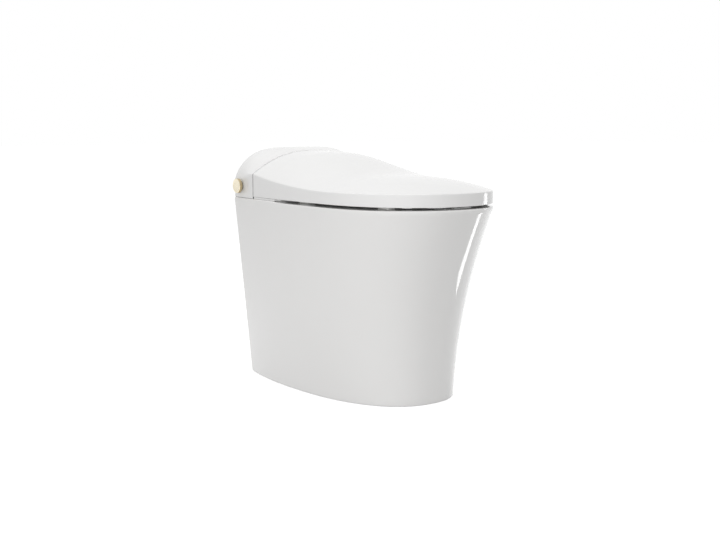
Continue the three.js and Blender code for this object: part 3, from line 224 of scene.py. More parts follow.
def turned_in(node, name, profile, axis, sides=96, hollow=False):
    """A finished turned piece that starts where the axis enters a solid's box."""
    low, high, start = span(node)
    for k, way in enumerate(axis):
        if way:
            start[k] = low[k] if way > 0 else high[k]
    return finished(turned(name, profile, start, axis, sides, hollow))


def bar(radius, length, edge, far_edge=None, bore=CORE):
    """The profile of a round bar or tube whose two ends are chamfered."""
    far_edge = edge if far_edge is None else far_edge
    return [(bore, 0), (radius - edge, 0), (radius, edge), (radius, length - far_edge),
            (radius - far_edge, length), (bore, length)]


def arc(cx, cy, radius, start, end, steps):
    """Points on an arc, in degrees."""
    return [(cx + radius * math.cos(math.radians(a)), cy + radius * math.sin(math.radians(a)))
            for a in np.linspace(start, end, steps + 1)]


def quarter(steps):
    """Steps round a quarter turn: how far each lies in from the side and in from the end."""
    return [(1 - math.sin(t), 1 - math.cos(t)) for t in np.linspace(0, math.pi / 2, steps + 1)]


def round_rectangle(x0, y0, x1, y1, radius, steps):
    """The outline of a rectangle with four round corners."""
    centres = ((x1 - radius, y1 - radius), (x0 + radius, y1 - radius),
               (x0 + radius, y0 + radius), (x1 - radius, y0 + radius))
    outline = []
    for k, (cx, cy) in enumerate(centres):
        outline += arc(cx, cy, radius, 90 * k, 90 * k + 90, steps)
    return outline


# ---------------------------------------------------------------- plan of body and seat unit


def mix(a, b, share):
    return a + (b - a) * share


def smooth(share):
    t = np.clip(share, 0, 1)
    return t * t * (3 - 2 * t)


LEAST_CORNER = 4 * MM
WALL_POINTS = 15  # across the rear wall, both ends counted


@dataclass
class Plan:
    """An oval plan: rounded nose to -Y, gently narrowing flanks, rounded rear corners."""

    front: float
    rear: float
    half: float
    widest: float
    rear_half: float
    end_power: float
    side_power: float
    corner: float

    def inset(self, by):
        return Plan(self.front - by, self.rear - by, self.half - by, self.widest,
                    self.rear_half - by, self.end_power, self.side_power,
                    max(self.corner - by, LEAST_CORNER))

    def half_width(self, y):
        y = np.asarray(y, float)
        reach = np.clip((self.widest - y) / (self.widest + self.front), 0, 1)
        nose = self.half * (1 - reach ** self.end_power) ** (1 / self.side_power)
        share = (y - self.widest) / (self.rear - self.widest)
        flank = self.half - (self.half - self.rear_half) * np.clip(share, 0, None) ** 2
        into = np.clip(y - (self.rear - self.corner), 0, self.corner)
        flank = flank - self.corner + np.sqrt(self.corner ** 2 - into ** 2)
        return np.where(y <= self.widest, nose, flank)

    def nose_point(self, a, out=1.0):
        """A point of the nose at an angle from its tip; out is 0 in the middle, 1 at the edge."""
        length = self.widest + self.front
        return (self.half * (out * math.sin(a)) ** (2 / self.side_power),
                self.widest - length * (out * math.cos(a)) ** (2 / self.end_power))

    def side(self, nose=64, flank=36, corner=12):
        """Points of the +X side from the nose tip to the rear edge, as (x, y)."""
        points = [self.nose_point(a) for a in np.linspace(0, math.pi / 2, nose + 1)]
        start = self.rear - self.corner
        for y in np.linspace(self.widest, start, flank + 1)[1:]:
            points.append((float(self.half_width(y)), y))
        for a in np.linspace(0, math.pi / 2, corner + 1)[1:]:
            y = start + self.corner * math.sin(a)
            points.append((float(self.half_width(y)), y))
        return points

    def outline(self, **counts):
        """The closed outline, from the nose round the +X side."""
        side = self.side(**counts)
        wall = np.linspace(side[-1][0], -side[-1][0], WALL_POINTS)[1:-1]
        rear = [(x, side[-1][1]) for x in wall]
        back = [(-x, y) for x, y in side[:0:-1]]
        return side + rear + back


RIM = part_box("bowl_body")[1].z
RIM_PLAN = Plan(0.331, 0.3405, 0.196, -0.076, 0.1725, 2.32, 2.21, 0.018)
FOOT_PLAN = Plan(0.2295, 0.326, 0.166, 0.098, 0.1355, 2.58, 2.3, 0.018)
NOSE_FLARE, SIDE_FLARE = 2.1, 0.9
FLARES = (NOSE_FLARE, 1, SIDE_FLARE, 1, 1, 1, 1, 1)
LIP = 3 * MM


def body_plan(share):
    """The ceramic body's plan at a share of the way from foot to rim."""
    return Plan(*[mix(foot, rim, share ** flare)
                  for foot, rim, flare in zip(astuple(FOOT_PLAN), astuple(RIM_PLAN), FLARES)])


def body_ring(z, inset=0.0, at=None):
    share = min((z if at is None else at) / (RIM - LIP), 1)
    return [(x, y, z) for x, y in body_plan(share).inset(inset).outline()]


# ---------------------------------------------------------------- arched form of lid and cover

UNIT_PLAN = RIM_PLAN.inset(1.5 * MM)
SEAM = 0.226

# The crown is the arch's highest line, the crease its lowest; both are heights above the rim.
NOSE_CROWN, CROWN = 64.5 * MM, 111.5 * MM
CLIMB_FROM, CLIMB_TO = -0.107, 0.156
COVER_RISE, RISE_FROM, RISE_OVER = 17 * MM, 0.160, 0.130
NOSE_CREASE, LOW_CREASE, SIDE_CREASE, REAR_CREASE = 33 * MM, 32.5 * MM, 59.5 * MM, 48.5 * MM
LOW_CREASE_AT = -0.105
FLANK_POWER, REAR_POWER, RISE_POWER, RISE_LIMIT = 1.9, 1.3, 2.5, 1.3
ARCH_POWER, REAR_ARCH_POWER = 2.14, 5.5
ROUND_OFF, ROLL_POWER = 0.2295, 2.56


def crease_at(y):
    """Height above the rim where the side wall meets the top skin."""
    y, low = np.asarray(y, float), LOW_CREASE_AT
    nose = mix(LOW_CREASE, NOSE_CREASE, np.clip((low - y) / (low + RIM_PLAN.front), 0, 1) ** 2)
    flank = mix(LOW_CREASE, SIDE_CREASE, np.clip((y - low) / (SEAM - low), 0, 1) ** FLANK_POWER)
    behind = np.clip((y - SEAM) / (RIM_PLAN.rear - SEAM), 0, 1)
    rear = mix(SIDE_CREASE, REAR_CREASE, behind ** REAR_POWER)
    return np.where(y < low, nose, np.where(y < SEAM, flank, rear))


def crown_at(y):
    y = np.asarray(y, float)
    rise = np.clip((y - RISE_FROM) / RISE_OVER, 0, RISE_LIMIT) ** RISE_POWER
    climb = smooth((y - CLIMB_FROM) / (CLIMB_TO - CLIMB_FROM))
    return mix(NOSE_CROWN, CROWN, climb) + COVER_RISE * rise


def skin_height(plan, y, out):
    """Height of the top skin above the rim; out runs from 0 on the middle line to 1 at the wall."""
    y, out = np.asarray(y, float), np.clip(out, 0, 1)
    roll = np.clip((y - ROUND_OFF) / (plan.rear - ROUND_OFF), 0, 1)
    fall = (1 - roll ** ROLL_POWER) ** (1 / ROLL_POWER)
    power = mix(ARCH_POWER, REAR_ARCH_POWER, smooth((y - SEAM) / (plan.rear - SEAM)))
    return crease_at(y) + (crown_at(y) - crease_at(y)) * fall * (1 - out ** power)


WALL_STEPS, FILLET_STEPS, FOOT_STEPS, SEAM_STEPS = 8, 6, 3, 4
SOFT_EDGE = 5.0  # the cover's edge gets this many times rounder
SOFT_OVER = 0.075
UNDER_HALF = 0.45  # the most of a wall that one rounding may take
NOSE_COLUMNS, FLANK_COLUMNS, SKIN_ROWS, SKIN_CROWDING = 72, 44, 34, 1.6
COVER_STATIONS, CORNER_STATIONS, HALF_ARCH = 40, 33, 48


def bend(start, corner, end, steps):
    """Points of a smooth turn from start to end that leans on the corner between them."""
    start, corner, end = (np.array(point, float) for point in (start, corner, end))
    return [tuple((1 - t) ** 2 * start + 2 * t * (1 - t) * corner + t ** 2 * end)
            for t in np.linspace(0, 1, steps + 1)]


def towards(start, end, distance):
    """The point at a distance from start on the way to end, but less than halfway there."""
    way = end - start
    return start + way * min(distance / max(np.linalg.norm(way), 1e-9), UNDER_HALF)


def lid_columns(plan, rear_end, rounded):
    """The lid's columns from nose to rear: (on the nose or not, its angle or y, how far sunk)."""
    columns = [(True, a, 0.0) for a in np.linspace(0, math.pi / 2, NOSE_COLUMNS + 1)]
    flank = np.linspace(plan.widest, rear_end - max(rounded, 0.1 * MM), FLANK_COLUMNS + 1)[1:]
    columns += [(False, y, 0.0) for y in flank]
    if not rounded:
        return columns + [(False, rear_end, 0.0)]
    return columns + [(False, rear_end - rounded * along, rounded * sunk)
                      for along, sunk in quarter(SEAM_STEPS)[1:]]


def on_column(plan, nose, at, out):
    """A place on one of the lid's columns; out is 0 on the middle line and 1 at the wall."""
    if nose:
        return plan.nose_point(at, out)
    return float(plan.half_width(at)) * out ** (2 / plan.side_power), at


def lid_column(plan, nose, at, drop, tuck, bottom, fillet):
    """One column of the lid's form, over the skin, round the crease and down the wall.

    The skin lies lower by drop and the wall further in by tuck than on the plain form."""
    edge_x, edge_y = on_column(plan, nose, at, 1.0)
    centre_x, centre_y = on_column(plan, nose, at, 0.0)
    length = math.hypot(edge_x - centre_x, edge_y - centre_y)
    last = 1 - max(fillet / length, 1e-3) if fillet else 1.0
    column = []
    for out in (1 - (1 - np.linspace(0, 1, SKIN_ROWS)) ** SKIN_CROWDING) * last:
        x, y = on_column(plan, nose, at, out)
        column.append((x, y, RIM + float(skin_height(plan, y, out)) - drop))
    normal = np.array([edge_x - centre_x, edge_y - centre_y] if nose else [1.0, 0.0])
    normal /= np.linalg.norm(normal)
    wall_x, wall_y = edge_x - normal[0] * tuck, edge_y - normal[1] * tuck
    high = np.array((wall_x, wall_y, RIM + float(crease_at(edge_y)) - drop))
    low = np.array((wall_x, wall_y, bottom))
    wall = np.linspace(0, 1, WALL_STEPS + 1)[1:]
    if not fillet:
        return column + [tuple(mix(high, low, t)) for t in wall]
    turn_end = towards(high, low, fillet)
    wall_end = towards(low, turn_end, fillet / 2)
    inward = np.array([normal[0], normal[1], 0]) * fillet / 2
    return (column + bend(column[-1], high, turn_end, FILLET_STEPS)[1:]
            + [tuple(mix(turn_end, wall_end, t)) for t in wall]
            + bend(wall_end, low, low - inward, FOOT_STEPS)[1:])


def lid_form(name, inset, lowered, bottom, rear_end, fillet=0.0, rounded=0.0):
    """The closed form under the lid's skin: top skin, edge, wall and flat foot.

    Columns run from the nose's middle outwards along lines of equal share, so that the crease
    is one clean line all the way round."""
    plan = UNIT_PLAN.inset(inset)
    right = np.array([lid_column(plan, nose, at, lowered + sunk, sunk, bottom, fillet)
                      for nose, at, sunk in lid_columns(plan, rear_end, rounded)])
    left = right[:0:-1] * np.array([-1, 1, 1])
    grid = np.concatenate([left, right])
    rows, count = grid.shape[:2]
    faces = []
    for k in range(rows - 1):
        for i in range(count - 1):
            a, b = k * count + i, (k + 1) * count + i
            faces.append((a, a + 1, b + 1, b))
    faces.append(tuple(range(count - 1, rows * count, count)))
    first, last = range(count), range((rows - 1) * count, rows * count)
    faces.append((*first[::-1], *last[1:]))
    return new_object(name, grid.reshape(-1, 3), faces)


def cover_form(name, inset, lowered, bottom, front_end, fillet=0.0, rounded=0.0):
    """The closed form under the rear cover's skin, from the seam back to its rear wall.

    Its edge starts as crisp as the lid's and grows rounder towards the rear."""
    plan = UNIT_PLAN.inset(inset)
    stations = [(front_end, rounded)]
    if rounded:
        stations += [(front_end + rounded * along, rounded * sunk)
                     for sunk, along in quarter(SEAM_STEPS)[1:]]
    turn_at = plan.rear - plan.corner
    stations += [(y, 0.0) for y in np.linspace(stations[-1][0], turn_at, COVER_STATIONS)[1:]]
    stations += [(turn_at + plan.corner * math.sin(a), 0.0)
                 for a in np.linspace(0, math.pi / 2, CORNER_STATIONS)[1:]]
    rings = []
    for y, sunk in stations:
        half = float(plan.half_width(y))
        crease = RIM + float(crease_at(y)) - lowered - sunk
        edge = half - sunk
        soft = fillet * mix(1, SOFT_EDGE, float(smooth((y - SEAM) / SOFT_OVER)))
        reach = 1 - soft / half
        arch = []
        for a in np.linspace(0, math.pi / 2, HALF_ARCH + 1):
            out = reach * math.cos(a)
            z = RIM + float(skin_height(plan, y, out ** (plan.side_power / 2))) - lowered - sunk
            arch.append((edge * out, y, z))
        side = [(edge, y, z) for z in np.linspace(crease - soft, bottom + fillet / 2, WALL_STEPS)]
        if fillet:
            turn = bend(arch[0], (edge, y, crease), side[0], 2 * FILLET_STEPS)[1:-1]
            under = (edge - fillet / 2, y, bottom)
            side = turn + side + bend(side[-1], (edge, y, bottom), under, FOOT_STEPS)[1:]
        else:
            side.append((edge, y, bottom))
        right = side[::-1] + arch
        rings.append(right + [(-x, yy, z) for x, yy, z in right[-2::-1]])
    return loft(name, rings)


# ---------------------------------------------------------------- ceramic body

BOWL_FRONT, BOWL_REAR, BOWL_HALF, BOWL_CENTRE = 0.258, 0.124, 0.124, -0.070
SUMP_HALF, SUMP_CENTRE, SUMP_FLOOR, SUMP_ROOM = 0.036, -0.045, 0.172, 8 * MM
BOWL_SQUARE, BOWL_EASE, BOWL_TAPER = 0.93, 1.5, 1.2
BOWL_POINTS, BOWL_LEVELS = 120, 30
BOWL_WALL = 11 * MM
CERAMIC_WALL = 12 * MM
DECK = 16 * MM
BOWL_EDGE = 7 * MM
FOOT_ROUND, RIM_ROUND = 2.5 * MM, 3.5 * MM
SKIRT_LEVELS, HOLLOW_LEVELS = 48, 16
RIM_DROP, DROP_START, DROP_LENGTH, DROP_WIDTH = 2.0 * MM, 0.140, 0.045, 16 * MM
NOSE_DROP, NOSE_DROP_FROM, NOSE_DROP_OVER = 0.5, -0.31, 0.10
DROP_FADE = 8
TRAP_BORE, TRAP_WALL = 26 * MM, 10 * MM
DRAIN_Y, DRAIN_FOOT, DRAIN_POCKET = 0.035, 14 * MM, 0.06
TRAP_PATH = [(0, -0.030, 0.196), (0, 0.040, 0.205), (0, 0.096, 0.246), (0, 0.136, 0.262),
             (0, 0.162, 0.226), (0, 0.150, 0.160), (0, 0.096, 0.104),
             (0, DRAIN_Y + 6 * MM, 0.070), (0, DRAIN_Y, 0)]
# Openings: the well in the deck under the seat unit, one in the back, and two for the ports.
WELL_HALF, WELL_REAR, WELL_CORNER = 0.090, 0.308, 14 * MM
SERVICE_HALF, SERVICE_FRONT, SERVICE_REAR = 0.085, 0.290, 0.340
SERVICE_FOOT, SERVICE_TOP = 0.110, 0.330
PORT_HOLE_X, PORT_HOLE_Y, PORT_HOLE = 0.122, 0.284, 17 * MM
DECK_BELOW, DECK_ABOVE = RIM - 0.030, RIM + 0.010


def bowl_ring(share, z, grow):
    ease = math.sin(share * math.pi / 2) ** BOWL_EASE
    front = mix(BOWL_FRONT, SUMP_HALF - SUMP_CENTRE + SUMP_ROOM, ease) + grow
    rear = mix(BOWL_REAR, SUMP_HALF + SUMP_CENTRE + SUMP_ROOM, ease) + grow
    half = mix(BOWL_HALF, SUMP_HALF, share ** BOWL_TAPER) + grow
    centre = mix(BOWL_CENTRE, SUMP_CENTRE, share)
    outline = []
    for a in full_turn(BOWL_POINTS):
        c, s = math.cos(a), math.sin(a)
        reach = centre + front if c < 0 else rear - centre
        outline.append((half * math.copysign(abs(s) ** BOWL_SQUARE, s),
                        centre + reach * math.copysign(abs(c) ** BOWL_SQUARE, c), z))
    return outline


def bowl_form(grow, top, floor, edge=0.0):
    """The bowl's inside, or with grow its outside; edge rolls its rim over."""
    rings = [bowl_ring(0, top, edge or grow)]
    if edge:
        for a in np.radians(np.linspace(90, 0, 8)):
            rings.append(bowl_ring(0, RIM - edge * (1 - math.sin(a)), edge * (1 - math.cos(a))))
    for share in np.linspace(edge / (RIM - floor), 1, BOWL_LEVELS)[1:]:
        rings.append(bowl_ring(share, mix(RIM, floor, share), grow))
    return loft("bowl_form", rings)


def curve_through(points, steps):
    """A smooth open curve through points, as dense points."""
    points = np.asarray(points, float)
    padded = np.vstack([2 * points[0] - points[1], points, 2 * points[-1] - points[-2]])
    dense = []
    for k in range(1, len(points)):
        p0, p1, p2, p3 = padded[k - 1:k + 3]
        for t in np.linspace(0, 1, steps, endpoint=False):
            dense.append(0.5 * (2 * p1 + (p2 - p0) * t + (2 * p0 - 5 * p1 + 4 * p2 - p3) * t ** 2
                                + (3 * p1 - p0 - 3 * p2 + p3) * t ** 3))
    dense.append(points[-1])
    return np.array(dense)


def pipe_in_plane(path, radius):
    """A round pipe whose centre line lies in the middle plane."""
    along = np.gradient(path, axis=0)
    along /= np.linalg.norm(along, axis=1)[:, None]
    across = np.array([1, 0, 0])
    rings = []
    for p, t in zip(path, along):
        normal = np.array([0, -t[2], t[1]])
        rings.append([tuple(p + radius * (math.cos(a) * across + math.sin(a) * normal))
                      for a in full_turn(48)])
    return loft("tool", rings)


def rounded_box(low, high, radius):
    """A box whose four upright edges are round."""
    (x0, y0, z0), (x1, y1, z1) = low, high
    outline = round_rectangle(x0, y0, x1, y1, radius, 8)
    return loft("tool", [[(x, y, z) for x, y in outline] for z in (z0, z1)])


def eased_down(outline):
    """The skirt's top edge sits lower along the flanks than under the cover, less at the nose."""
    lowered = []
    for x, y, z in outline:
        drop = RIM_DROP * smooth((DROP_START - y) / DROP_LENGTH)
        drop *= mix(NOSE_DROP, 1, smooth((y - NOSE_DROP_FROM) / NOSE_DROP_OVER))
        lowered.append((x, y, z - drop * (z / RIM) ** DROP_FADE))
    return lowered


def skirt():
    """The outer form from floor to rim, with its foot and its top edge rounded."""
    rings = []
    for a in np.linspace(0, 90, 5)[:-1]:
        inset = FOOT_ROUND * (1 - math.sin(math.radians(a)))
        rings.append(body_ring(FOOT_ROUND * (1 - math.cos(math.radians(a))), inset))
    shoulder = RIM - RIM_ROUND
    for z in np.linspace(FOOT_ROUND, shoulder, SKIRT_LEVELS):
        rings.append(eased_down(body_ring(z)))
    for a in np.linspace(0, 90, 9)[1:]:
        inset = RIM_ROUND * (1 - math.cos(math.radians(a)))
        height = shoulder + RIM_ROUND * math.sin(math.radians(a))
        rings.append(eased_down(body_ring(height, inset, at=shoulder)))
    rings.append(body_ring(RIM, RIM_ROUND + DROP_WIDTH, at=shoulder))
    return loft("ceramic_body", rings)


def make_body():
    """The glazed one-piece pedestal: skirt, deck, bowl and trapway."""
    body = skirt()
    outer = body.copy()
    outer.data = body.data.copy()
    bpy.context.scene.collection.objects.link(outer)
    hollow = [[(x, y, -5 * MM) for x, y, _ in body_ring(0, CERAMIC_WALL)]]
    for z in np.linspace(0, RIM - DECK, HOLLOW_LEVELS):
        hollow.append(body_ring(z, CERAMIC_WALL))
    cut(body, loft("tool", hollow))
    bowl_outside = bowl_form(BOWL_WALL, RIM - 2 * MM, SUMP_FLOOR - BOWL_WALL)
    combine(bowl_outside, outer, "INTERSECT")
    trap = curve_through(TRAP_PATH, 8)
    join(body, bowl_outside, pipe_in_plane(trap, TRAP_BORE + TRAP_WALL))
    cut(
        body,
        bowl_form(0, RIM + 5 * MM, SUMP_FLOOR, edge=BOWL_EDGE),
        pipe_in_plane(trap, TRAP_BORE),
        box_tool((-DRAIN_POCKET, DRAIN_Y - DRAIN_POCKET, -DRAIN_POCKET),
                 (DRAIN_POCKET, DRAIN_Y + DRAIN_POCKET, DRAIN_FOOT)),
        rounded_box((-WELL_HALF, SEAM, DECK_BELOW), (WELL_HALF, WELL_REAR, DECK_ABOVE),
                    WELL_CORNER),
        box_tool((-SERVICE_HALF, SERVICE_FRONT, SERVICE_FOOT),
                 (SERVICE_HALF, SERVICE_REAR, SERVICE_TOP)),
        *[rod_tool((x, PORT_HOLE_Y, DECK_BELOW), (x, PORT_HOLE_Y, DECK_ABOVE), PORT_HOLE)
          for x in (-PORT_HOLE_X, PORT_HOLE_X)],
    )
    return finished(body)


# ---------------------------------------------------------------- lid, cover and knob

LID_WALL = 3.2 * MM
COVER_WALL = 2.8 * MM
LID_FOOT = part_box("lid")[0].z
LID_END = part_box("lid")[1].y - 0.6 * MM
COVER_FOOT = RIM + 0.5 * MM
COVER_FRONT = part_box("rear_cover")[0].y + 0.6 * MM
CREASE_ROUND, SEAM_ROUND = 2.2 * MM, 0.9 * MM
BELOW_RIM = RIM - 5 * MM
KNOB_HOLE = 11.3 * MM
# Depth and reach of the dark band that lines the seam as painted shadow.
DARK_LINING_SUNK, DARK_LINING_AHEAD = 1.3 * MM, 1.8 * MM
LEDGE_OUTSIDE, LEDGE_INSIDE, LEDGE_BELOW_LID = 3.2 * MM, 10.6 * MM, 0.55 * MM
FAR = 0.3  # half the width of a tool that cuts right across


def make_lid():
    lid = lid_form("lid_shell", 0, 0, LID_FOOT, LID_END, fillet=CREASE_ROUND, rounded=SEAM_ROUND)
    cut(lid, lid_form("tool", LID_WALL, LID_WALL + 0.2 * MM, BELOW_RIM, SEAM + 20 * MM))
    return lid


def make_cover():
    cover = cover_form("cover_shell", 0, 0, COVER_FOOT, COVER_FRONT,
                       fillet=CREASE_ROUND, rounded=SEAM_ROUND)
    centre = middle("knob_bezel")
    cut(cover,
        cover_form("tool", COVER_WALL, COVER_WALL, BELOW_RIM, COVER_FRONT - 20 * MM),
        rod_tool((-0.20, centre.y, centre.z), (-0.14, centre.y, centre.z), KNOB_HOLE))
    return finished(cover)


def make_shadow_lining():
    """Thin band on the cover's front edge, sunk below the skin, that lines the seam as painted shadow
    in the gap.
    """
    front = COVER_FRONT - DARK_LINING_AHEAD
    band = cover_form("seam_painted_shadow", DARK_LINING_SUNK, DARK_LINING_SUNK, COVER_FOOT + 1 * MM, front)
    cut(band, cover_form("tool", COVER_WALL, COVER_WALL, BELOW_RIM, front - 5 * MM),
        box_tool((-FAR, COVER_FRONT - 0.05 * MM, 0), (FAR, 0.5, 0.8)))
    return finished(band)


def make_pan_edges():
    """Pale ledges of the base pan that fill the gap under the lid's rear ends."""
    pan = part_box("base_pan")[0]
    foot, top = pan.z, LID_FOOT - LEDGE_BELOW_LID
    start, end = pan.y + 16 * MM, LID_END - 0.5 * MM

    def slab(inset, z0, z1):
        return loft("pan_ledges", [[(x, y, z) for x, y in RIM_PLAN.inset(inset).outline()]
                                   for z in (z0, z1)])

    under, over = foot - 0.01, top + 0.01
    ledges = slab(LEDGE_OUTSIDE, foot, top)
    cut(ledges, slab(LEDGE_INSIDE, under, over),
        box_tool((-FAR, -0.5, under), (FAR, start, over)),
        box_tool((-FAR, end, under), (FAR, 0.5, over)))
    return finished(ledges)


def make_knob():
    """The turned cap of the side knob, dished in the middle."""
    low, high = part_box("knob_cap")
    radius, depth = (high.z - low.z) / 2, high.x - low.x
    lip, edge, dish = 0.5 * MM, 1.4 * MM, 1.0 * MM
    neck, neck_deep = radius - 3.5 * MM, 1.8 * MM
    middle_disc = 0.2 * MM
    profile = [(middle_disc, 0), (neck, 0), (neck, neck_deep),
               (neck + 0.4 * MM, neck_deep + 0.4 * MM)]
    profile += arc(radius - lip, neck_deep + 0.4 * MM + lip, lip, -90, 0, 4)
    profile += arc(radius - edge, depth - edge, edge, 0, 90, 8)
    profile += [(radius - 2.6 * MM, depth), (radius - 3.0 * MM, depth - 0.3 * MM)]
    for t in np.linspace(0, 1, 8):
        deep = dish * (0.4 + 0.6 * math.sin(t * math.pi / 2))
        profile.append((mix(radius - 3.2 * MM, middle_disc, t), depth - deep))
    return turned_in("knob_cap", "knob_turning_cap", profile, (-1, 0, 0))


# ---------------------------------------------------------------- small shape helpers


def extruded(name, outline, x0, x1, round_by=0.8 * MM, steps=3):
    """A slab across X from a (y, z) outline, with its two faces' edges rounded."""
    points = np.asarray(outline, float)
    ahead, behind = np.roll(points, -1, 0) - points, points - np.roll(points, 1, 0)
    ahead /= np.linalg.norm(ahead, axis=1)[:, None] + 1e-12
    behind /= np.linalg.norm(behind, axis=1)[:, None] + 1e-12
    way = ahead + behind
    way /= np.linalg.norm(way, axis=1)[:, None] + 1e-12
    inward = np.stack([-way[:, 1], way[:, 0]], 1)
    ahead_y, ahead_z = np.roll(points, -1, 0).T
    area = np.sum(points[:, 0] * ahead_z - ahead_y * points[:, 1])
    inward *= 1 if area > 0 else -1
    rings = []
    for end, way, turns in ((x0, 1, quarter(steps)), (x1, -1, quarter(steps)[::-1])):
        for side, along in turns:
            outline = points + inward * round_by * side
            rings.append([(end + way * round_by * along, y, z) for y, z in outline])
    return loft(name, rings)


def pad(name, low, high, corner, edge, steps=6):
    """A cushion-edged block: round upright edges, and a rounded rim above and below."""
    (x0, y0, z0), (x1, y1, z1) = low, high
    levels = [(edge * side, z0 + edge * along) for side, along in quarter(4)]
    levels += [(edge * along, z1 - edge * side) for side, along in quarter(4)]
    rings = []
    for inset, z in levels:
        outline = round_rectangle(x0 + inset, y0 + inset, x1 - inset, y1 - inset,
                                  max(corner - inset, 0.3 * MM), steps)
        rings.append([(x, y, z) for x, y in outline])
    return loft(name, rings)


SAME_POINT, FLAT = 0.01 * MM, math.radians(1.0)


def softened(node, width=0.6 * MM, sharp=35):
    """A rigid solid's own mesh with its edges broken as moulding or casting leaves them."""
    source = frame["nodes"][node]
    thing = bpy.data.objects.new(node + "_fine", source.data.copy())
    bpy.context.scene.collection.objects.link(thing)
    bm = bmesh.new()
    bm.from_mesh(thing.data)
    bmesh.ops.remove_doubles(bm, verts=bm.verts, dist=SAME_POINT)
    bmesh.ops.dissolve_limit(bm, angle_limit=FLAT, verts=bm.verts, edges=bm.edges)
    bm.to_mesh(thing.data)
    bm.free()
    return finished(bevelled(thing, width, sharp), sharp)


def merged(base, *others):
    """Adds other meshes to a piece without cutting them into each other."""
    bm = bmesh.new()
    bm.from_mesh(base.data)
    for other in others:
        bm.from_mesh(other.data)
        bpy.data.objects.remove(other)
    bm.to_mesh(base.data)
    bm.free()
    return base


# ---------------------------------------------------------------- node trees


class Wire:
    """An output socket that takes part in sums; an expression on it adds its Math nodes."""

    def __init__(self, nodes, socket):
        self.nodes, self.socket = nodes, socket

    def _math(self, operation, *values):
        return self.nodes.node("ShaderNodeMath", {"operation": operation},
                               dict(enumerate(values))).out(0)

    def __add__(self, other):
        return self._math("ADD", self, other)

    __radd__ = __add__

    def __mul__(self, other):
        return self._math("MULTIPLY", self, other)

    __rmul__ = __mul__

    def __sub__(self, other):
        return self._math("SUBTRACT", self, other)

    def __rsub__(self, other):
        return self._math("SUBTRACT", other, self)

    def __truediv__(self, other):
        return self._math("DIVIDE", self, other)

    def __pow__(self, other):
        return self._math("POWER", self, other)

    def over(self, other):
        return self._math("GREATER_THAN", self, other)

    def least(self, other):
        return self._math("MINIMUM", self, other)

    def sine(self):
        return self._math("SINE", self)


class Made:
    """A node that was added, and its outputs as wires."""

    def __init__(self, nodes, node):
        self.nodes, self.node = nodes, node

    def out(self, key):
        return Wire(self.nodes, self.node.outputs[key])


class Nodes:
    """A node tree that starts empty."""

    def __init__(self, tree):
        self.tree = tree
        tree.nodes.clear()

    def link(self, value, socket):
        if isinstance(value, Wire):
            self.tree.links.new(value.socket, socket)
        else:
            socket.default_value = value

    def node(self, kind, settings=None, values=None):
        """Adds a node: its settings first, then the values or links of its sockets."""
        node = self.tree.nodes.new(kind)
        for key, value in (settings or {}).items():
            setattr(node, key, value)
        for key, value in (values or {}).items():
            self.link(value, node.inputs[key])
        return Made(self, node)


# ---------------------------------------------------------------- repeated details


class Tree(Nodes):
    """A geometry tree whose sizes are named inputs."""

    def __init__(self, name, inputs):
        super().__init__(bpy.data.node_groups.new(name, "GeometryNodeTree"))
        face = self.tree.interface
        face.new_socket("Geometry", in_out="INPUT", socket_type="NodeSocketGeometry")
        face.new_socket("Geometry", in_out="OUTPUT", socket_type="NodeSocketGeometry")
        self.keys = {}
        for label, kind in inputs.items():
            socket = face.new_socket(label, in_out="INPUT", socket_type="NodeSocket" + kind)
            self.keys[label] = socket.identifier
        self.given = self.node("NodeGroupInput").out
        self.end = self.node("NodeGroupOutput").node

    def copies_on(self, line, **more):
        """Ends the tree with a copy of the detail on every point of a line."""
        copies = self.node("GeometryNodeInstanceOnPoints", None, {
            "Points": line, "Instance": self.given("Geometry"), **more}).out(0)
        real = self.node("GeometryNodeRealizeInstances", None, {0: copies}).out(0)
        paint = self.node("GeometryNodeSetMaterial", None, {
            "Geometry": real, "Material": self.given("Finish")}).out(0)
        self.link(paint, self.end.inputs[0])
        return self

    def grow(self, name, unit, **sizes):
        """Runs the tree on one unit of the detail and returns the plain result."""
        step = unit.modifiers.new(name, "NODES")
        step.node_group = self.tree
        for label, value in sizes.items():
            step[self.keys[label]] = value
        unit.name = name
        unit.update_tag()
        return baked(unit)


def row_tree():
    """Copies of one detail, evenly stepped along a straight line."""
    tree = Tree("row_of_details", {"Count": "Int", "Step": "Vector", "Finish": "Material"})
    return tree.copies_on(tree.node("GeometryNodeMeshLine", {"mode": "OFFSET"}, {
        "Count": tree.given("Count"), "Offset": tree.given("Step")}).out(0))


def ring_tree():
    """Copies of one detail, evenly turned about the X axis through the origin."""
    tree = Tree("ring_of_details", {"Count": "Int", "Finish": "Material"})
    line = tree.node("GeometryNodeMeshLine", {"mode": "OFFSET"}, {
        "Count": tree.given("Count"), "Offset": (0, 0, 0)}).out(0)
    share = tree.node("GeometryNodeInputIndex").out(0) / tree.given("Count")
    turn = tree.node("ShaderNodeCombineXYZ", None, {"X": share * (2 * math.pi)}).out(0)
    return tree.copies_on(line, Rotation=turn)


ROW, RING = row_tree(), ring_tree()


def row(name, unit, count, step, finish):
    return ROW.grow(name, unit, Count=count, Step=step, Finish=finish)


def ring(name, unit, count, finish, centre):
    """A ring about a centre; the unit is drawn about the origin."""
    grown = RING.grow(name, unit, Count=count, Finish=finish)
    grown.data.transform(Matrix.Translation(centre))
    return grown


# ---------------------------------------------------------------- materials


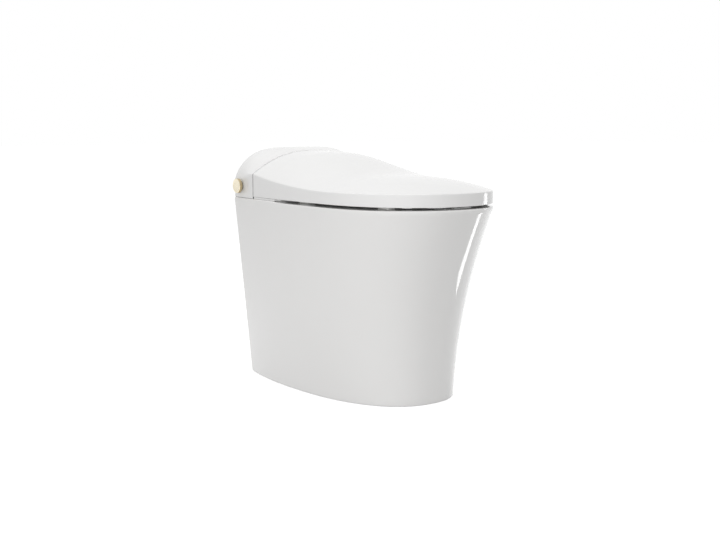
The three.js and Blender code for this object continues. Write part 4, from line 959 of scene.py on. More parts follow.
class Shade(Nodes):
    """The nodes of a material or of the world."""

    def __init__(self, name, tree=None):
        if tree is None:
            self.material = bpy.data.materials.new(name)
            self.material.use_nodes = True
            tree = self.material.node_tree
        super().__init__(tree)

    def place(self, scale=(1, 1, 1)):
        here = self.node("ShaderNodeTexCoord").out("Object")
        return self.node("ShaderNodeMapping", None, {"Vector": here, "Scale": scale}).out(0)

    def noise(self, scale, detail=2.0, at=None):
        return self.node("ShaderNodeTexNoise", None, {
            "Vector": at or self.place(), "Scale": scale, "Detail": detail}).out("Fac")

    def blend(self, factor, first, second):
        mixer = self.node("ShaderNodeMix", {"data_type": "RGBA"}, {0: factor, 6: first, 7: second})
        return mixer.out(2)

    def bump(self, height, strength, distance):
        return self.node("ShaderNodeBump", None, {
            "Height": height, "Strength": strength, "Distance": distance,
        }).out("Normal")

    def finish(self, colour, roughness, metallic=0.0, normal=None, **fixed):
        """The surface shader; colour, roughness and normal may vary over the surface."""
        values = {"Base Color": colour, "Roughness": roughness, "Metallic": metallic}
        if normal is not None:
            values["Normal"] = normal
        values.update({key.replace("_", " "): value for key, value in fixed.items()})
        shader = self.node("ShaderNodeBsdfPrincipled", None, values).out(0)
        self.node("ShaderNodeOutputMaterial", None, {"Surface": shader})
        return self.material


def white(level, warm=0.0):
    """A near-white colour with a little warmth."""
    return (level, level * (1 - 0.4 * warm), level * (1 - warm), 1)


def glaze():
    """Vitreous glaze: deep gloss, faint pooling of tone and a barely wavy surface."""
    shade = Shade("glazed_ceramic")
    cloud = shade.noise(3.0, 3.0)
    pool = shade.noise(14.0, 2.0)
    tone = shade.blend(cloud, white(0.83, 0.022), white(0.86, 0.014))
    wave = shade.bump(pool, 0.06, 0.4 * MM)
    gloss = 0.045 + 0.02 * cloud
    return shade.finish(tone, gloss, normal=wave, Coat_Weight=0.6, Coat_Roughness=0.03,
                        Specular_IOR_Level=0.5)


def gloss_plastic():
    """Injection-moulded gloss white with faint flow marks."""
    shade = Shade("gloss_white_plastic")
    flow = shade.noise(6.0, 2.0, at=shade.place(scale=(1, 0.3, 1)))
    grain = shade.noise(420.0, 1.0)
    tone = shade.blend(flow, white(0.86, 0.012), white(0.885, 0.008))
    gloss = 0.12 + 0.04 * flow
    return shade.finish(tone, gloss, normal=shade.bump(grain, 0.02, 0.05 * MM),
                        Specular_IOR_Level=0.5)


def satin_plastic():
    shade = Shade("satin_white_plastic")
    grain = shade.noise(900.0, 2.0)
    tone = shade.blend(shade.noise(8.0), white(0.78, 0.02), white(0.82, 0.015))
    return shade.finish(tone, 0.34 + 0.08 * grain, normal=shade.bump(grain, 0.1, 0.08 * MM))


def satin_brass():
    """Champagne plating: a bright dished face, a brushed side painted darker as shade, fine turned
    lines.
    """
    shade = Shade("champagne_brass")
    low, high, centre = span("knob_cap")
    radius, groove = (high.z - low.z) / 2, 0.35 * MM
    spot = shade.noise(60.0, 2.0)
    here = shade.node("ShaderNodeSeparateXYZ", None, {
        0: shade.node("ShaderNodeTexCoord").out("Object")})
    across, up = here.out("Y") - centre.y, here.out("Z") - centre.z
    reach = (across * across + up * up) ** 0.5
    # Mask of the knob's round side, which gets painted shade.
    side = reach.over(radius - groove)
    lines = (reach * (2 * math.pi / groove)).sine()
    brushed = shade.noise(900.0, 2.0, at=shade.place(scale=(8, 0.4, 0.4)))
    face = shade.blend(spot, (0.76, 0.685, 0.53, 1), (0.84, 0.775, 0.62, 1))
    # Painted shade: the round side's colours are darker than the face's; the brushed noise only
    # varies them.
    flank = shade.blend(brushed, (0.50, 0.40, 0.235, 1), (0.66, 0.55, 0.35, 1))
    tone = shade.blend(side, face, flank)
    gloss = 0.24 + 0.06 * brushed + 0.08 * side
    return shade.finish(tone, gloss, 1.0, normal=shade.bump(lines, 0.05, 0.01 * MM))


def plain(name, colour, roughness, metallic=0.0, grain=600.0, depth=0.05):
    """A moulded or cast finish with fine grain and a little variation."""
    shade = Shade(name)
    fine = shade.noise(grain, 2.0)
    dark = tuple(0.86 * c for c in colour[:3]) + (1,)
    tone = shade.blend(shade.noise(12.0), dark, tuple(colour[:3]) + (1,))
    return shade.finish(tone, roughness + 0.1 * (fine - 0.5), metallic,
                        normal=shade.bump(fine, 0.15, depth * MM))


LOOKS = {
    "ceramic": glaze(),
    "shell": gloss_plastic(),
    "inner_shell": satin_plastic(),
    "brass": satin_brass(),
    "steel": plain("plain_steel", (0.62, 0.63, 0.64), 0.32, 1.0, 900.0, 0.02),
    "soft_rubber": plain("pale_rubber", (0.72, 0.72, 0.70), 0.6),
    "dark_rubber": plain("dark_rubber", (0.04, 0.04, 0.042), 0.62),
    "dark_plastic": plain("dark_plastic", (0.05, 0.054, 0.06), 0.42),
    "grey_plastic": plain("grey_plastic", (0.34, 0.36, 0.38), 0.4),
    "board": plain("circuit_board", (0.02, 0.16, 0.08), 0.38),
    "heater_foil": plain("heating_foil", (0.72, 0.5, 0.26), 0.35, 1.0),
    "dark_window": plain("smoked_window", (0.012, 0.013, 0.016), 0.08),
    "carbon": plain("carbon_cartridge", (0.02, 0.02, 0.02), 0.8),
}
GREY, DARK = LOOKS["grey_plastic"], LOOKS["dark_plastic"]

# ---------------------------------------------------------------- seat ring

SEAT_PLAN = RIM_PLAN.inset(13 * MM)
SEAT_REAR, SEAT_CORNER = 0.102, 0.016
HOLE_CENTRE, HOLE_REACH, HOLE_HALF = -0.089, 0.147, 0.106
HOLE_LEAN, HOLE_SIDES, HOLE_ENDS = 0.06, 0.9, 0.95
SEAT_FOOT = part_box("seat_lower_shell")[0].z + 0.7 * MM
SEAT_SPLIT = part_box("seat_heater")[0].z - 0.3 * MM
SEAT_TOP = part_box("seat_upper_shell")[1].z
SEAT_POINTS, HOLE_POINTS = 420, 400
HINGE = middle("damper_left")
PIN = 4 * MM
PIN_BORE = PIN + 0.3 * MM
ARM_IN, ARM_OUT, ARM_GAP = 0.0403, 0.0497, 1 * MM


def by_angle(points):
    """The same outline with points at even angles round the middle of the hole."""
    p = np.asarray(points, float)
    angles = np.arctan2(p[:, 0], HOLE_CENTRE - p[:, 1])
    order = np.argsort(angles)
    angles, reach = angles[order], np.hypot(p[:, 0], p[:, 1] - HOLE_CENTRE)[order]
    angles = np.concatenate([angles - 2 * math.pi, angles, angles + 2 * math.pi])
    at = full_turn(SEAT_POINTS) - math.pi
    radius = np.interp(at, angles, np.tile(reach, 3))
    return np.stack([radius * np.sin(at), HOLE_CENTRE - radius * np.cos(at)], 1)


def seat_edge(inset):
    plan = SEAT_PLAN.inset(inset)
    rear = SEAT_REAR - inset
    turn = rear - SEAT_CORNER
    side = [(x, y) for x, y in plan.side(nose=120, flank=120) if y < turn]
    half = float(plan.half_width(turn)) - SEAT_CORNER
    side += [(half + dx, turn + dy) for dx, dy in arc(0, 0, SEAT_CORNER, 0, 90, 16)]
    rear_line = [(x, rear) for x in np.linspace(half, -half, 90)[1:-1]]
    return by_angle(side + rear_line + [(-x, y) for x, y in side[:0:-1]])


def hole_edge(grow):
    """The seat's hole: an oval, a little squarer and a little wider towards the rear."""
    points = []
    for a in full_turn(HOLE_POINTS):
        s, c = math.sin(a), math.cos(a)
        half, reach = (HOLE_HALF + grow) * (1 + HOLE_LEAN * c), HOLE_REACH + grow
        points.append((half * math.copysign(abs(s) ** HOLE_SIDES, s),
                       HOLE_CENTRE - reach * math.copysign(abs(c) ** HOLE_ENDS, c)))
    return by_angle(points)


def ring_solid(name, section):
    """A closed ring; each step of its section is (share from edge to hole, inset, grow, z)."""
    rings = []
    for share, inset, grow, z in section:
        outline = mix(seat_edge(inset), hole_edge(grow), share)
        rings.append([(x, y, z) for x, y in outline])
    return loft(name, rings, closed=True)


def seat_arm(side):
    """An arm that rises from the seat's rear and curves back to the hinge."""
    y, z = HINGE.y, HINGE.z
    line = curve_through([(0, y, z), (0, y - 0.029, z - 0.002), (0, y - 0.059, z - 0.013),
                          (0, y - 0.084, z - 0.036), (0, SEAT_REAR - 0.005, SEAT_FOOT + 0.010),
                          (0, SEAT_REAR - 0.010, SEAT_FOOT + 0.002)], 8)[:, 1:]
    way = np.gradient(line, axis=0)
    way /= np.linalg.norm(way, axis=1)[:, None]
    normal = np.stack([way[:, 1], -way[:, 0]], 1)
    thick = np.linspace(4 * MM, 5 * MM, len(line))[:, None]
    outline = np.concatenate([line + normal * thick, (line - normal * thick)[::-1]])
    inner, outer = sorted((side * ARM_IN, side * ARM_OUT))
    arm = extruded("tool", outline, inner, outer, 1.2 * MM)
    edge = [(7.4 * MM, 0), (8.1 * MM, 0.3 * MM), (8.4 * MM, 1 * MM)]
    profile = [(0.2 * MM, 0), *edge, *[(r, outer - inner - x) for r, x in edge[::-1]],
               (0.2 * MM, outer - inner)]
    return join(arm, turned("tool", profile, (inner, y, z), (1, 0, 0), 48))


def make_seat_lower():
    foot, top = SEAT_FOOT, SEAT_SPLIT
    section = [(0, 0.3 * MM, 0, top), (0, 0.3 * MM, 0, foot + 2.5 * MM),
               (0, 0.9 * MM, 0, foot + 1.1 * MM), (0, 3 * MM, 0, foot), (1, 0, 3 * MM, foot),
               (1, 0, 0.9 * MM, foot + 1.2 * MM), (1, 0, 0, foot + 3 * MM), (1, 0, 0, top)]
    seat = ring_solid("seat_lower_half", section)
    for side in (1, -1):
        join(seat, seat_arm(side))
    cut(seat, rod_tool((-0.1, HINGE.y, HINGE.z), (0.1, HINGE.y, HINGE.z), PIN_BORE, 48))
    return finished(seat, 40)


def make_seat_upper():
    """The crowned half that is sat on, with both edges rolled over and a lip round the heater."""
    foot, top = SEAT_SPLIT + 0.3 * MM, SEAT_TOP
    outer = curve_through([(0, 0, foot + 0.001), (0, 0.02 * MM, foot + 3.5 * MM),
                           (0, 0.6 * MM, foot + 6.0 * MM), (0, 2.4 * MM, top - 1.5 * MM),
                           (0, 5.6 * MM, top - 0.45 * MM), (0, 10 * MM, top - 0.12 * MM)], 4)
    inner = curve_through([(0, 12 * MM, top - 0.5 * MM), (0, 7.5 * MM, top - 1.2 * MM),
                           (0, 3 * MM, top - 3.2 * MM), (0, 0.6 * MM, top - 5.6 * MM),
                           (0, 0.1 * MM, foot + 0.002)], 4)
    section = [(0, 0.3 * MM, 0, foot), (0, 0.02 * MM, 0, foot + 0.3 * MM)]
    section += [(0, inset, 0, z) for _, inset, z in outer]
    for share in np.linspace(0, 1, 12)[1:-1]:
        crown = mix(top - 0.12 * MM, top - 0.5 * MM, share ** 3)
        section.append((share, 10 * MM, 12 * MM, crown))
    section += [(1, 0, grow, z) for _, grow, z in inner]
    lip, deep = 3.2 * MM, 1.6 * MM
    section += [(1, 0, 0.3 * MM, foot), (1, 0, lip, foot), (1, 0, lip, foot + deep),
                (0, lip, 0, foot + deep), (0, lip, 0, foot)]
    seat = ring_solid("seat_upper_half", section)
    for side in (1, -1):
        x0, x1 = sorted((side * (ARM_IN - ARM_GAP), side * (ARM_OUT + ARM_GAP)))
        cut(seat, rounded_box((x0, SEAT_REAR - 0.019, foot - 0.002),
                              (x1, SEAT_REAR + 0.005, top + 0.005), 2 * MM))
    return finished(seat, 50)


# ---------------------------------------------------------------- unit housing

HOUSING_LOW, HOUSING_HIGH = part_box("unit_housing")
HOUSING_WALL = 3 * MM
BROW, BROW_FOOT, BROW_POWER = 52 * MM, 9 * MM, 2.2
BROW_HALF, HOUSING_HALF, SHOULDER = 0.128, 0.147, 34 * MM
# Openings in the front wall, as (from x, to x, from z, to z) with z above the rim.
WAND_DOOR = (-0.013, 0.013, -0.002, 0.019)
DRYER_DOOR = (0.062, 0.104, 0.009, 0.026)
SENSOR_X, SENSOR_RISE, SENSOR_HOLE = -0.078, 0.024, 8 * MM


def housing_form(name, inset, front, rear):
    """The housing's outer or inner form: a rounded brow at the front, then level."""
    stations = HOUSING_LOW.y + BROW * (1 - np.cos(np.linspace(0, math.pi / 2, 24)))
    stations = [y for y in stations if front < y < rear - 1 * MM]
    rings = []
    for y in [front, *stations, rear]:
        share = min(max((y - HOUSING_LOW.y) / BROW, 0), 1)
        half = mix(BROW_HALF, HOUSING_HALF, float(smooth(share))) - inset
        climb = (1 - (1 - share) ** BROW_POWER) ** (1 / BROW_POWER)
        top = RIM + mix(BROW_FOOT, HOUSING_HIGH.z - RIM, climb) - inset
        foot = HOUSING_LOW.z - (2 * MM if inset else 0)
        radius = min(SHOULDER - inset, (top - foot) * 0.8)
        curve = [(-half, foot)]
        for a in np.linspace(0, math.pi / 2, 17):
            curve.append((-half + radius * (1 - math.cos(a)), top - radius * (1 - math.sin(a))))
        rings.append([(x, y, z) for x, z in curve] + [(-x, y, z) for x, z in curve[::-1]])
    return loft(name, rings)


def make_housing():
    front = HOUSING_LOW.y
    ahead, behind = front - 5 * MM, front + 16 * MM
    housing = bevelled(housing_form("unit_cover_plate", 0, front, HOUSING_HIGH.y), 0.8 * MM, 50, 3)
    cut(
        housing,
        housing_form("tool", HOUSING_WALL, front + HOUSING_WALL, HOUSING_HIGH.y + 20 * MM),
        *[box_tool((x0, ahead, RIM + z0), (x1, behind, RIM + z1))
          for x0, x1, z0, z1 in (WAND_DOOR, DRYER_DOOR)],
        rod_tool((SENSOR_X, ahead, RIM + SENSOR_RISE), (SENSOR_X, behind, RIM + SENSOR_RISE),
                 SENSOR_HOLE),
    )
    return finished(housing, 40)


def make_window():
    low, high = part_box("occupancy_window")
    radius, depth, edge = (high.z - low.z) / 2, high.y - low.y, 0.8 * MM
    profile = [(CORE, 0), (radius, 0), (radius, depth - edge)]
    profile += arc(radius - edge, depth - edge, edge, 0, 90, 5)
    profile += [(radius - 2 * MM, depth + 0.15 * MM), (CORE, depth + 0.25 * MM)]
    return turned_in("occupancy_window", "sensor_window", profile, (0, -1, 0), 48)


# ---------------------------------------------------------------- hinge

LUG_IN, LUG_OUT = 0.0500, 0.0575
LUG_REACH, LUG_RISE = 0.030, 0.030


def make_pin(node):
    low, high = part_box(node)
    profile = bar(PIN, high.x - low.x, 0.5 * MM)
    return finished(turned(node.replace("hinge_pin", "steel_pin"), profile,
                           (low.x, HINGE.y, HINGE.z), (1, 0, 0), 40))


def make_damper(node):
    """Round soft-close damper with a bore for its pin."""
    low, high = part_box(node)
    profile = bar((high.z - low.z) / 2, high.x - low.x, 0.5 * MM, bore=PIN_BORE)
    x, way = (high.x, -1) if node.endswith("left") else (low.x, 1)
    return finished(turned(node.replace("damper", "soft_close_damper"), profile,
                           (x, HINGE.y, HINGE.z), (way, 0, 0), 48, hollow=True))


def make_lugs(lid):
    """Adds the two hinge lugs inside the lid and drills the pin hole."""
    y, z = HINGE.y, HINGE.z
    outline = [(y - LUG_REACH, z + LUG_RISE), (y - LUG_REACH, z + 0.008)]
    outline += arc(y, z, 8 * MM, 200, 340, 24)
    outline += [(y + 0.012, z + 0.006), (y + 0.016, z + LUG_RISE)]
    for side in (1, -1):
        x0, x1 = sorted((side * LUG_IN, side * LUG_OUT))
        lug = extruded("tool", outline, x0, x1, 0.6 * MM)
        combine(lug, lid_form("tool", 1.2 * MM, 1.2 * MM, RIM, SEAM - 2 * MM), "INTERSECT")
        join(lid, lug)
    end = LUG_OUT + 0.1 * MM
    return cut(lid, rod_tool((-end, y, z), (end, y, z), PIN_BORE, 48))


# ---------------------------------------------------------------- bumpers

FOOT_OUT, FOOT_ALONG = 7 * MM, 6 * MM


def make_seat_bumper(node):
    """Rubber foot under the seat, with a lip that runs out to just past the seat's edge."""
    low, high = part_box(node)
    if node.endswith("left"):
        low.x -= FOOT_OUT
    else:
        high.x += FOOT_OUT
    low.y -= FOOT_ALONG
    high.y += FOOT_ALONG
    return finished(pad(node.replace("bumper", "foot"), low, high, 6 * MM, 1.2 * MM))


def make_lid_bumper(node):
    low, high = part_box(node)
    radius, height = (high.x - low.x) / 2, high.z - low.z + 4 * MM
    profile = [(CORE, 0), (radius - 1.5 * MM, 0), (radius - 0.5 * MM, 0.5 * MM),
               (radius, 1.6 * MM), (radius, height), (CORE, height)]
    stem = turned_in(node, node.replace("bumper", "rest"), profile, (0, 0, 1), 40)
    combine(stem, lid_form("tool", LID_WALL, LID_WALL + 0.5 * MM, RIM, SEAM - 10 * MM), "INTERSECT")
    return finished(stem, 40)


# ---------------------------------------------------------------- washing wand

TILT = math.radians(21)
WAND_TIP = Vector((0, 0.118, 0.449))
WAND_WAY = Vector((0, math.cos(TILT), math.sin(TILT)))
WAND_UP = Vector((0, -math.sin(TILT), math.cos(TILT)))
WAND_RADIUS, WAND_LENGTH, CAP, CAP_GAP = 6.5 * MM, 0.165, 24 * MM, 0.3 * MM
JET, JETS_ALONG, JETS_ACROSS = 0.7 * MM, (7 * MM, 12 * MM), (-2 * MM, 2 * MM)
RACK_X, RACK_WIDTH, PITCH_LINE = 6.8 * MM, 4 * MM, 3.65 * MM
MODULE, PINION_TEETH = 1 * MM, 16
PITCH_RADIUS = MODULE * PINION_TEETH / 2
MESH_ALONG = 48 * MM  # where the pinion meets the rack, from the wand's tip
TOOTH_DIP, TOOTH_RISE = 1.15 * MODULE, 0.9 * MODULE


def on_wand(along, above=0.0, x=0.0):
    return WAND_TIP + WAND_WAY * along + WAND_UP * above + Vector((x, 0, 0))


def make_wand():
    r, end = WAND_RADIUS, WAND_LENGTH - CAP - CAP_GAP
    profile = [(CORE, 0), (r - 0.4 * MM, 0), (r, 0.4 * MM)]
    profile += [(r, along) for along in np.linspace(10 * MM, end - 10 * MM, 6)]
    profile += [(r, end - 0.6 * MM), (r - 0.6 * MM, end), (CORE, end)]
    wand = turned("wash_wand", profile, on_wand(CAP + CAP_GAP), WAND_WAY, 48)
    hose = (on_wand(WAND_LENGTH - 14 * MM), on_wand(WAND_LENGTH + 5 * MM))
    cut(wand, rod_tool(*hose, 3.2 * MM, 32))
    return finished(wand, 40)


def make_wand_tip():
    r, nose = WAND_RADIUS, 3 * MM
    profile = [(CORE, 0)] + arc(r - nose, nose, nose, -90, 0, 8)
    profile += [(r, CAP - 0.5 * MM), (r - 0.5 * MM, CAP), (CORE, CAP)]
    tip = turned("wash_wand_tip", profile, on_wand(0), WAND_WAY, 64)
    cut(tip, *[rod_tool(on_wand(along, r - 3 * MM, x), on_wand(along, r + 1 * MM, x), JET, 20)
               for along in JETS_ALONG for x in JETS_ACROSS])
    return finished(tip, 40)


def tooth_outline(half_pitch):
    """One tooth in (along, up), with slightly bowed flanks and a rounded tip."""
    right = [(0.68 * half_pitch, -TOOTH_DIP), (0.60 * half_pitch, -0.6 * TOOTH_DIP),
             (0.50 * half_pitch, 0), (0.40 * half_pitch, 0.5 * TOOTH_RISE),
             (0.30 * half_pitch, 0.9 * TOOTH_RISE), (0.22 * half_pitch, TOOTH_RISE)]
    return right + [(-a, up) for a, up in right[::-1]]


def beside_wand(name, outline, edge, steps=3):
    """A slab beside the wand from an outline in (along the wand, above it)."""
    return extruded(name, [tuple(on_wand(a, b))[1:] for a, b in outline], RACK_X,
                    RACK_X + RACK_WIDTH, edge, steps)


def make_rack():
    """Toothed strip beside the wand."""
    start, end = 42.0 * MM, WAND_LENGTH - 4 * MM
    low, high = PITCH_LINE - 5.5 * MM, PITCH_LINE - 1.1 * MM
    strip = beside_wand("wand_rack_strip", [(start, low), (end, low), (end, high), (start, high)],
                        0.3 * MM)
    pitch = math.pi * MODULE
    first = MESH_ALONG - 1.5 * pitch
    outline = [(first + a, PITCH_LINE + b) for a, b in tooth_outline(pitch / 2)]
    unit = beside_wand("tooth", outline, 0.25 * MM, 2)
    teeth = row("rack_teeth", unit, int((end - first) / pitch), tuple(WAND_WAY * pitch), GREY)
    return finished(merged(strip, teeth), 40)


def make_pinion():
    """Drive gear on the motor's shaft, its teeth in the rack's."""
    low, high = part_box("drive_pinion")
    wide, root, bore, edge = high.x - low.x, PITCH_RADIUS - 1.1 * MODULE, 2.3 * MM, 0.1 * MM
    centre = on_wand(MESH_ALONG, PITCH_LINE + PITCH_RADIUS)
    s, c = math.sin(TILT), math.cos(TILT)
    outline = [(a, PITCH_RADIUS + b)
               for a, b in tooth_outline(math.pi * PITCH_RADIUS / PINION_TEETH)]
    unit = extruded("tooth", [(b * s - a * c, -a * s - b * c) for a, b in outline],
                    low.x, high.x, 0.25 * MM, 2)
    teeth = ring("pinion_teeth", unit, PINION_TEETH, GREY, centre)
    hub = turned("pinion", [(root - edge, 0), (root, edge), (root, wide - edge),
                            (root - edge, wide), (bore, wide), (bore, 0)],
                 (low.x, centre.y, centre.z), (1, 0, 0), 64, hollow=True)
    return finished(merged(hub, teeth), 40)


# ---------------------------------------------------------------- dryer

WHEEL_RADIUS, WHEEL_BORE, WHEEL_HUB = 20 * MM, 2.9 * MM, 6 * MM
PLATE, HOOP = 2 * MM, 4 * MM
BLADES, BLADE_HALF, BLADE_LEAN = 22, 0.5 * MM, 2.2 * MM
FLAP_Y, FLAP_HALF, FLAP_PIN = 0.116, 1 * MM, 1.25 * MM


def make_blower_wheel():
    """Drum wheel: a back plate, a hub, a front hoop and curved blades between them."""
    low, high, centre = span("dryer_wheel")
    wide, start = high.x - low.x, (low.x, centre.y, centre.z)
    hub_end, inside = wide - 8 * MM, WHEEL_RADIUS - HOOP
    plate = turned("blower_wheel", [
        (WHEEL_BORE, 0), (WHEEL_RADIUS, 0), (WHEEL_RADIUS, PLATE), (WHEEL_HUB + 2 * MM, PLATE),
        (WHEEL_HUB, 5 * MM), (WHEEL_HUB, hub_end), (WHEEL_BORE, hub_end)],
        start, (1, 0, 0), 72, hollow=True)
    hoop = turned("tool", [(inside, wide - PLATE), (WHEEL_RADIUS, wide - PLATE),
                           (WHEEL_RADIUS, wide), (inside, wide)], start, (1, 0, 0), 72, hollow=True)
    bow = []
    for t in np.linspace(0, 1, 5):
        reach = mix(inside - 0.2 * MM, WHEEL_RADIUS - 0.3 * MM, t)
        bow.append((BLADE_LEAN * math.sin(t * math.pi / 2), reach))
    outline = [(y - BLADE_HALF, z) for y, z in bow] + [(y + BLADE_HALF, z) for y, z in bow[::-1]]
    unit = extruded("blade", outline, low.x + 0.2 * MM, high.x - 0.2 * MM, 0.15 * MM, 1)
    blades = ring("blower_blades", unit, BLADES, DARK, (0, centre.y, centre.z))
    return finished(merged(plate, hoop, blades), 40)


def make_flap():
    low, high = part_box("dryer_flap")
    pin, wide = high.z - 1.3 * MM, high.x - low.x
    leaf = pad("outlet_flap", (low.x + 0.7 * MM, FLAP_Y - FLAP_HALF, low.z),
               (high.x - 0.7 * MM, FLAP_Y + FLAP_HALF, pin), 0.8 * MM, 0.4 * MM, 3)
    profile = [(CORE, 0), (1.0 * MM, 0), (FLAP_PIN, 0.3 * MM), (FLAP_PIN, wide - 0.3 * MM),
               (1.0 * MM, wide), (CORE, wide)]
    axle = turned("tool", profile, (low.x, FLAP_Y, pin), (1, 0, 0), 24)
    return finished(join(leaf, axle), 40)


# ---------------------------------------------------------------- works, threads and fixings


def ribs(name, low, high, count, proud, side):
    """Upright ribs in a row along X on a wall that faces -Y or +Y."""
    step = (high.x - low.x) / (count + 1)
    half = 1.2 * MM
    face = low.y if side < 0 else high.y
    y0, y1 = sorted((face + side * proud, face - side * 0.3 * MM))
    unit = pad("rib", (low.x + step - half, y0, mix(low.z, high.z, 0.12)),
               (low.x + step + half, y1, mix(low.z, high.z, 0.88)), 0.5 * MM, 0.4 * MM, 2)
    return row(name, unit, count, (step, 0, 0), GREY)


def threads(name, centre, radius, low, high, pitch, finish):
    """Rounded thread ridges round an upright stub."""
    ridge = 0.45 * pitch
    rings = []
    for a in full_turn(64):
        section = []
        for t in full_turn(8):
            reach = radius - 0.25 * pitch + ridge * math.cos(t)
            section.append((centre.x + reach * math.cos(a), centre.y + reach * math.sin(a),
                            low + 0.5 * pitch + ridge * math.sin(t)))
        rings.append(section)
    unit = loft("ridge", rings, closed=True)
    return row(name, unit, int((high - low) / pitch), (0, 0, pitch), finish)


def make_stub(node, name, finish):
    """Threaded stub with a hexagonal flange under the pan."""
    low, high, centre = span(node)
    stub = softened(node, 0.5 * MM, 50)
    stub.name = name
    return merged(stub, threads(name + "_thread", centre, 10 * MM, low.z + 4 * MM,
                                high.z - 12 * MM, 2.3 * MM, finish))


def make_screw(node):
    """Hexagonal anchor screw with a washer face and a chamfered head."""
    low, high, c = span(node)
    head, radius, corner = high.z - 5 * MM, 3.0 * MM, 6.1 * MM
    profile = [(CORE, 0), (radius - 0.4 * MM, 0), (radius, 0.4 * MM), (radius, head - low.z),
               (CORE, head - low.z)]
    shank = turned_in(node, node.replace("floor_", "anchor_"), profile, (0, 0, 1), 32)
    hexagon = [(corner * math.cos(a), corner * math.sin(a)) for a in full_turn(6)]
    rings = [[(c.x + x * share, c.y + y * share, z) for x, y in hexagon]
             for share, z in ((0.97, head), (1, head + 0.2 * MM), (1, high.z - 1 * MM),
                              (0.86, high.z))]
    return finished(join(shank, loft("tool", rings)), 30)


def make_board():
    """Circuit board, and the row of capacitors on it as a piece of its own."""
    low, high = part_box("control_board")
    board = softened("control_board", 0.2 * MM, 50)
    board.name = "driver_board"
    profile = [(CORE, 0), (2.2 * MM, 0), (2.4 * MM, 0.3 * MM), (2.4 * MM, 5.6 * MM),
               (2.0 * MM, 6.0 * MM), (CORE, 6.0 * MM)]
    first = (low.x + 6 * MM, high.y - 9.2 * MM, high.z - 5 * MM)
    unit = turned("capacitor", profile, first, (0, 1, 0), 20)
    return board, row("board_capacitors", unit, 4, (5.6 * MM, 0, 0), DARK)


def make_knob_bezel():
    """Sleeve that lines the cover's hole, with a flange inside."""
    low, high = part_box("knob_bezel")
    sleeve, flange, bore, length = 11 * MM, (high.z - low.z) / 2, 5.3 * MM, high.x - low.x
    lip, flange_from, flange_to = 0.8 * MM, 7.7 * MM, 10.7 * MM
    profile = [(bore, 0), (bore + lip, 0), (bore + 2 * lip, 0.3 * MM), (sleeve - lip, 0),
               (sleeve, lip), (sleeve, flange_from), (flange, flange_from), (flange, flange_to),
               (sleeve, flange_to), (sleeve, length), (bore, length)]
    return turned_in("knob_bezel", "knob_sleeve", profile, (1, 0, 0), 64, hollow=True)


def make_knob_shaft():
    low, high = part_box("knob_shaft")
    profile = bar((high.z - low.z) / 2, high.x - low.x, 0.4 * MM, 0.6 * MM)
    return turned_in("knob_shaft", "knob_spindle", profile, (1, 0, 0), 40)


def make_seal():
    """Soft ring with rounded lips between the trapway and the floor drain."""
    low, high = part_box("outlet_seal")
    bore, lip = 27 * MM, 2.4 * MM
    inner, outer, top = bore + lip, (high.x - low.x) / 2 - lip, high.z - low.z - lip
    profile = arc(inner, top, lip, 180, 90, 5) + arc(outer, top, lip, 90, 0, 5)
    profile += arc(outer, lip, lip, 0, -90, 5) + arc(inner, lip, lip, -90, -180, 5)
    return turned_in("outlet_seal", "drain_ring_seal", profile, (0, 0, 1), 96, hollow=True)


def make_tank():
    """Moulded cistern with stiffening ribs down its front and rear walls."""
    tank = softened("flush_tank", 1.2 * MM)
    low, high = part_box("flush_tank")
    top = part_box("base_pan")[0].z - 14 * MM
    wall_low = Vector((low.x, low.y + 7 * MM, low.z + 6 * MM))
    wall_high = Vector((high.x, high.y - 7 * MM, top))
    return merged(tank, *[ribs("tank_ribs", wall_low, wall_high, 7, 1.6 * MM, side)
                          for side in (-1, 1)])


def fins(name, low, high, count, proud):
    """Thin collars in a row along Y round a horizontal barrel."""
    c, radius = (low + high) / 2, (high.x - low.x) / 2
    step = (high.y - low.y) / (count + 1)
    foot, thick = radius - 0.5 * MM, 1.4 * MM
    unit = turned("fin", [(foot, 0), (radius + proud, 0.2 * MM),
                          (radius + proud, thick - 0.2 * MM), (foot, thick)],
                  (c.x, low.y + step, high.z - radius), (0, 1, 0), 48, hollow=True)
    return row(name, unit, count, (0, step, 0), DARK)


def make_air_pump():
    """Diaphragm pump: a block with a finned barrel on it."""
    low, high, centre = span("air_pump")
    half, ends = 17 * MM, 10 * MM
    barrel_low = Vector((centre.x - half, low.y + ends, low.z))
    barrel_high = Vector((centre.x + half, high.y - ends, high.z))
    return merged(softened("air_pump", 0.8 * MM),
                  fins("pump_fins", barrel_low, barrel_high, 7, 0.8 * MM))


# ---------------------------------------------------------------- pieces on their bodies

RECORD = frame["record"]
SLOT_OF = {part["node"]: part["material_slot"] for part in RECORD["subparts"]}
BODY_OF = {node: body for body, nodes in RECORD["behaviour"]["bodies"].items() for node in nodes}
SIDES = ("left", "right")
CORNERS = [row_name + "_" + side for row_name in ("front", "rear") for side in SIDES]


def painted(thing, slot):
    """Gives a piece one finish all over: the material of its slot."""
    mesh = thing.data
    mesh.polygons.foreach_set("material_index", [0] * len(mesh.polygons))
    mesh.materials.clear()
    mesh.materials.append(LOOKS[slot])


def dress(thing, *nodes):
    """Puts a finished piece in place of its solids, on their body."""
    painted(thing, SLOT_OF[nodes[0]])
    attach(thing, BODY_OF[nodes[0]])
    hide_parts(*nodes)
    return thing


def fitted(thing, node, slot=None):
    """Adds a detail that moves with a solid."""
    painted(thing, slot or SLOT_OF[node])
    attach(thing, BODY_OF[node])
    return thing


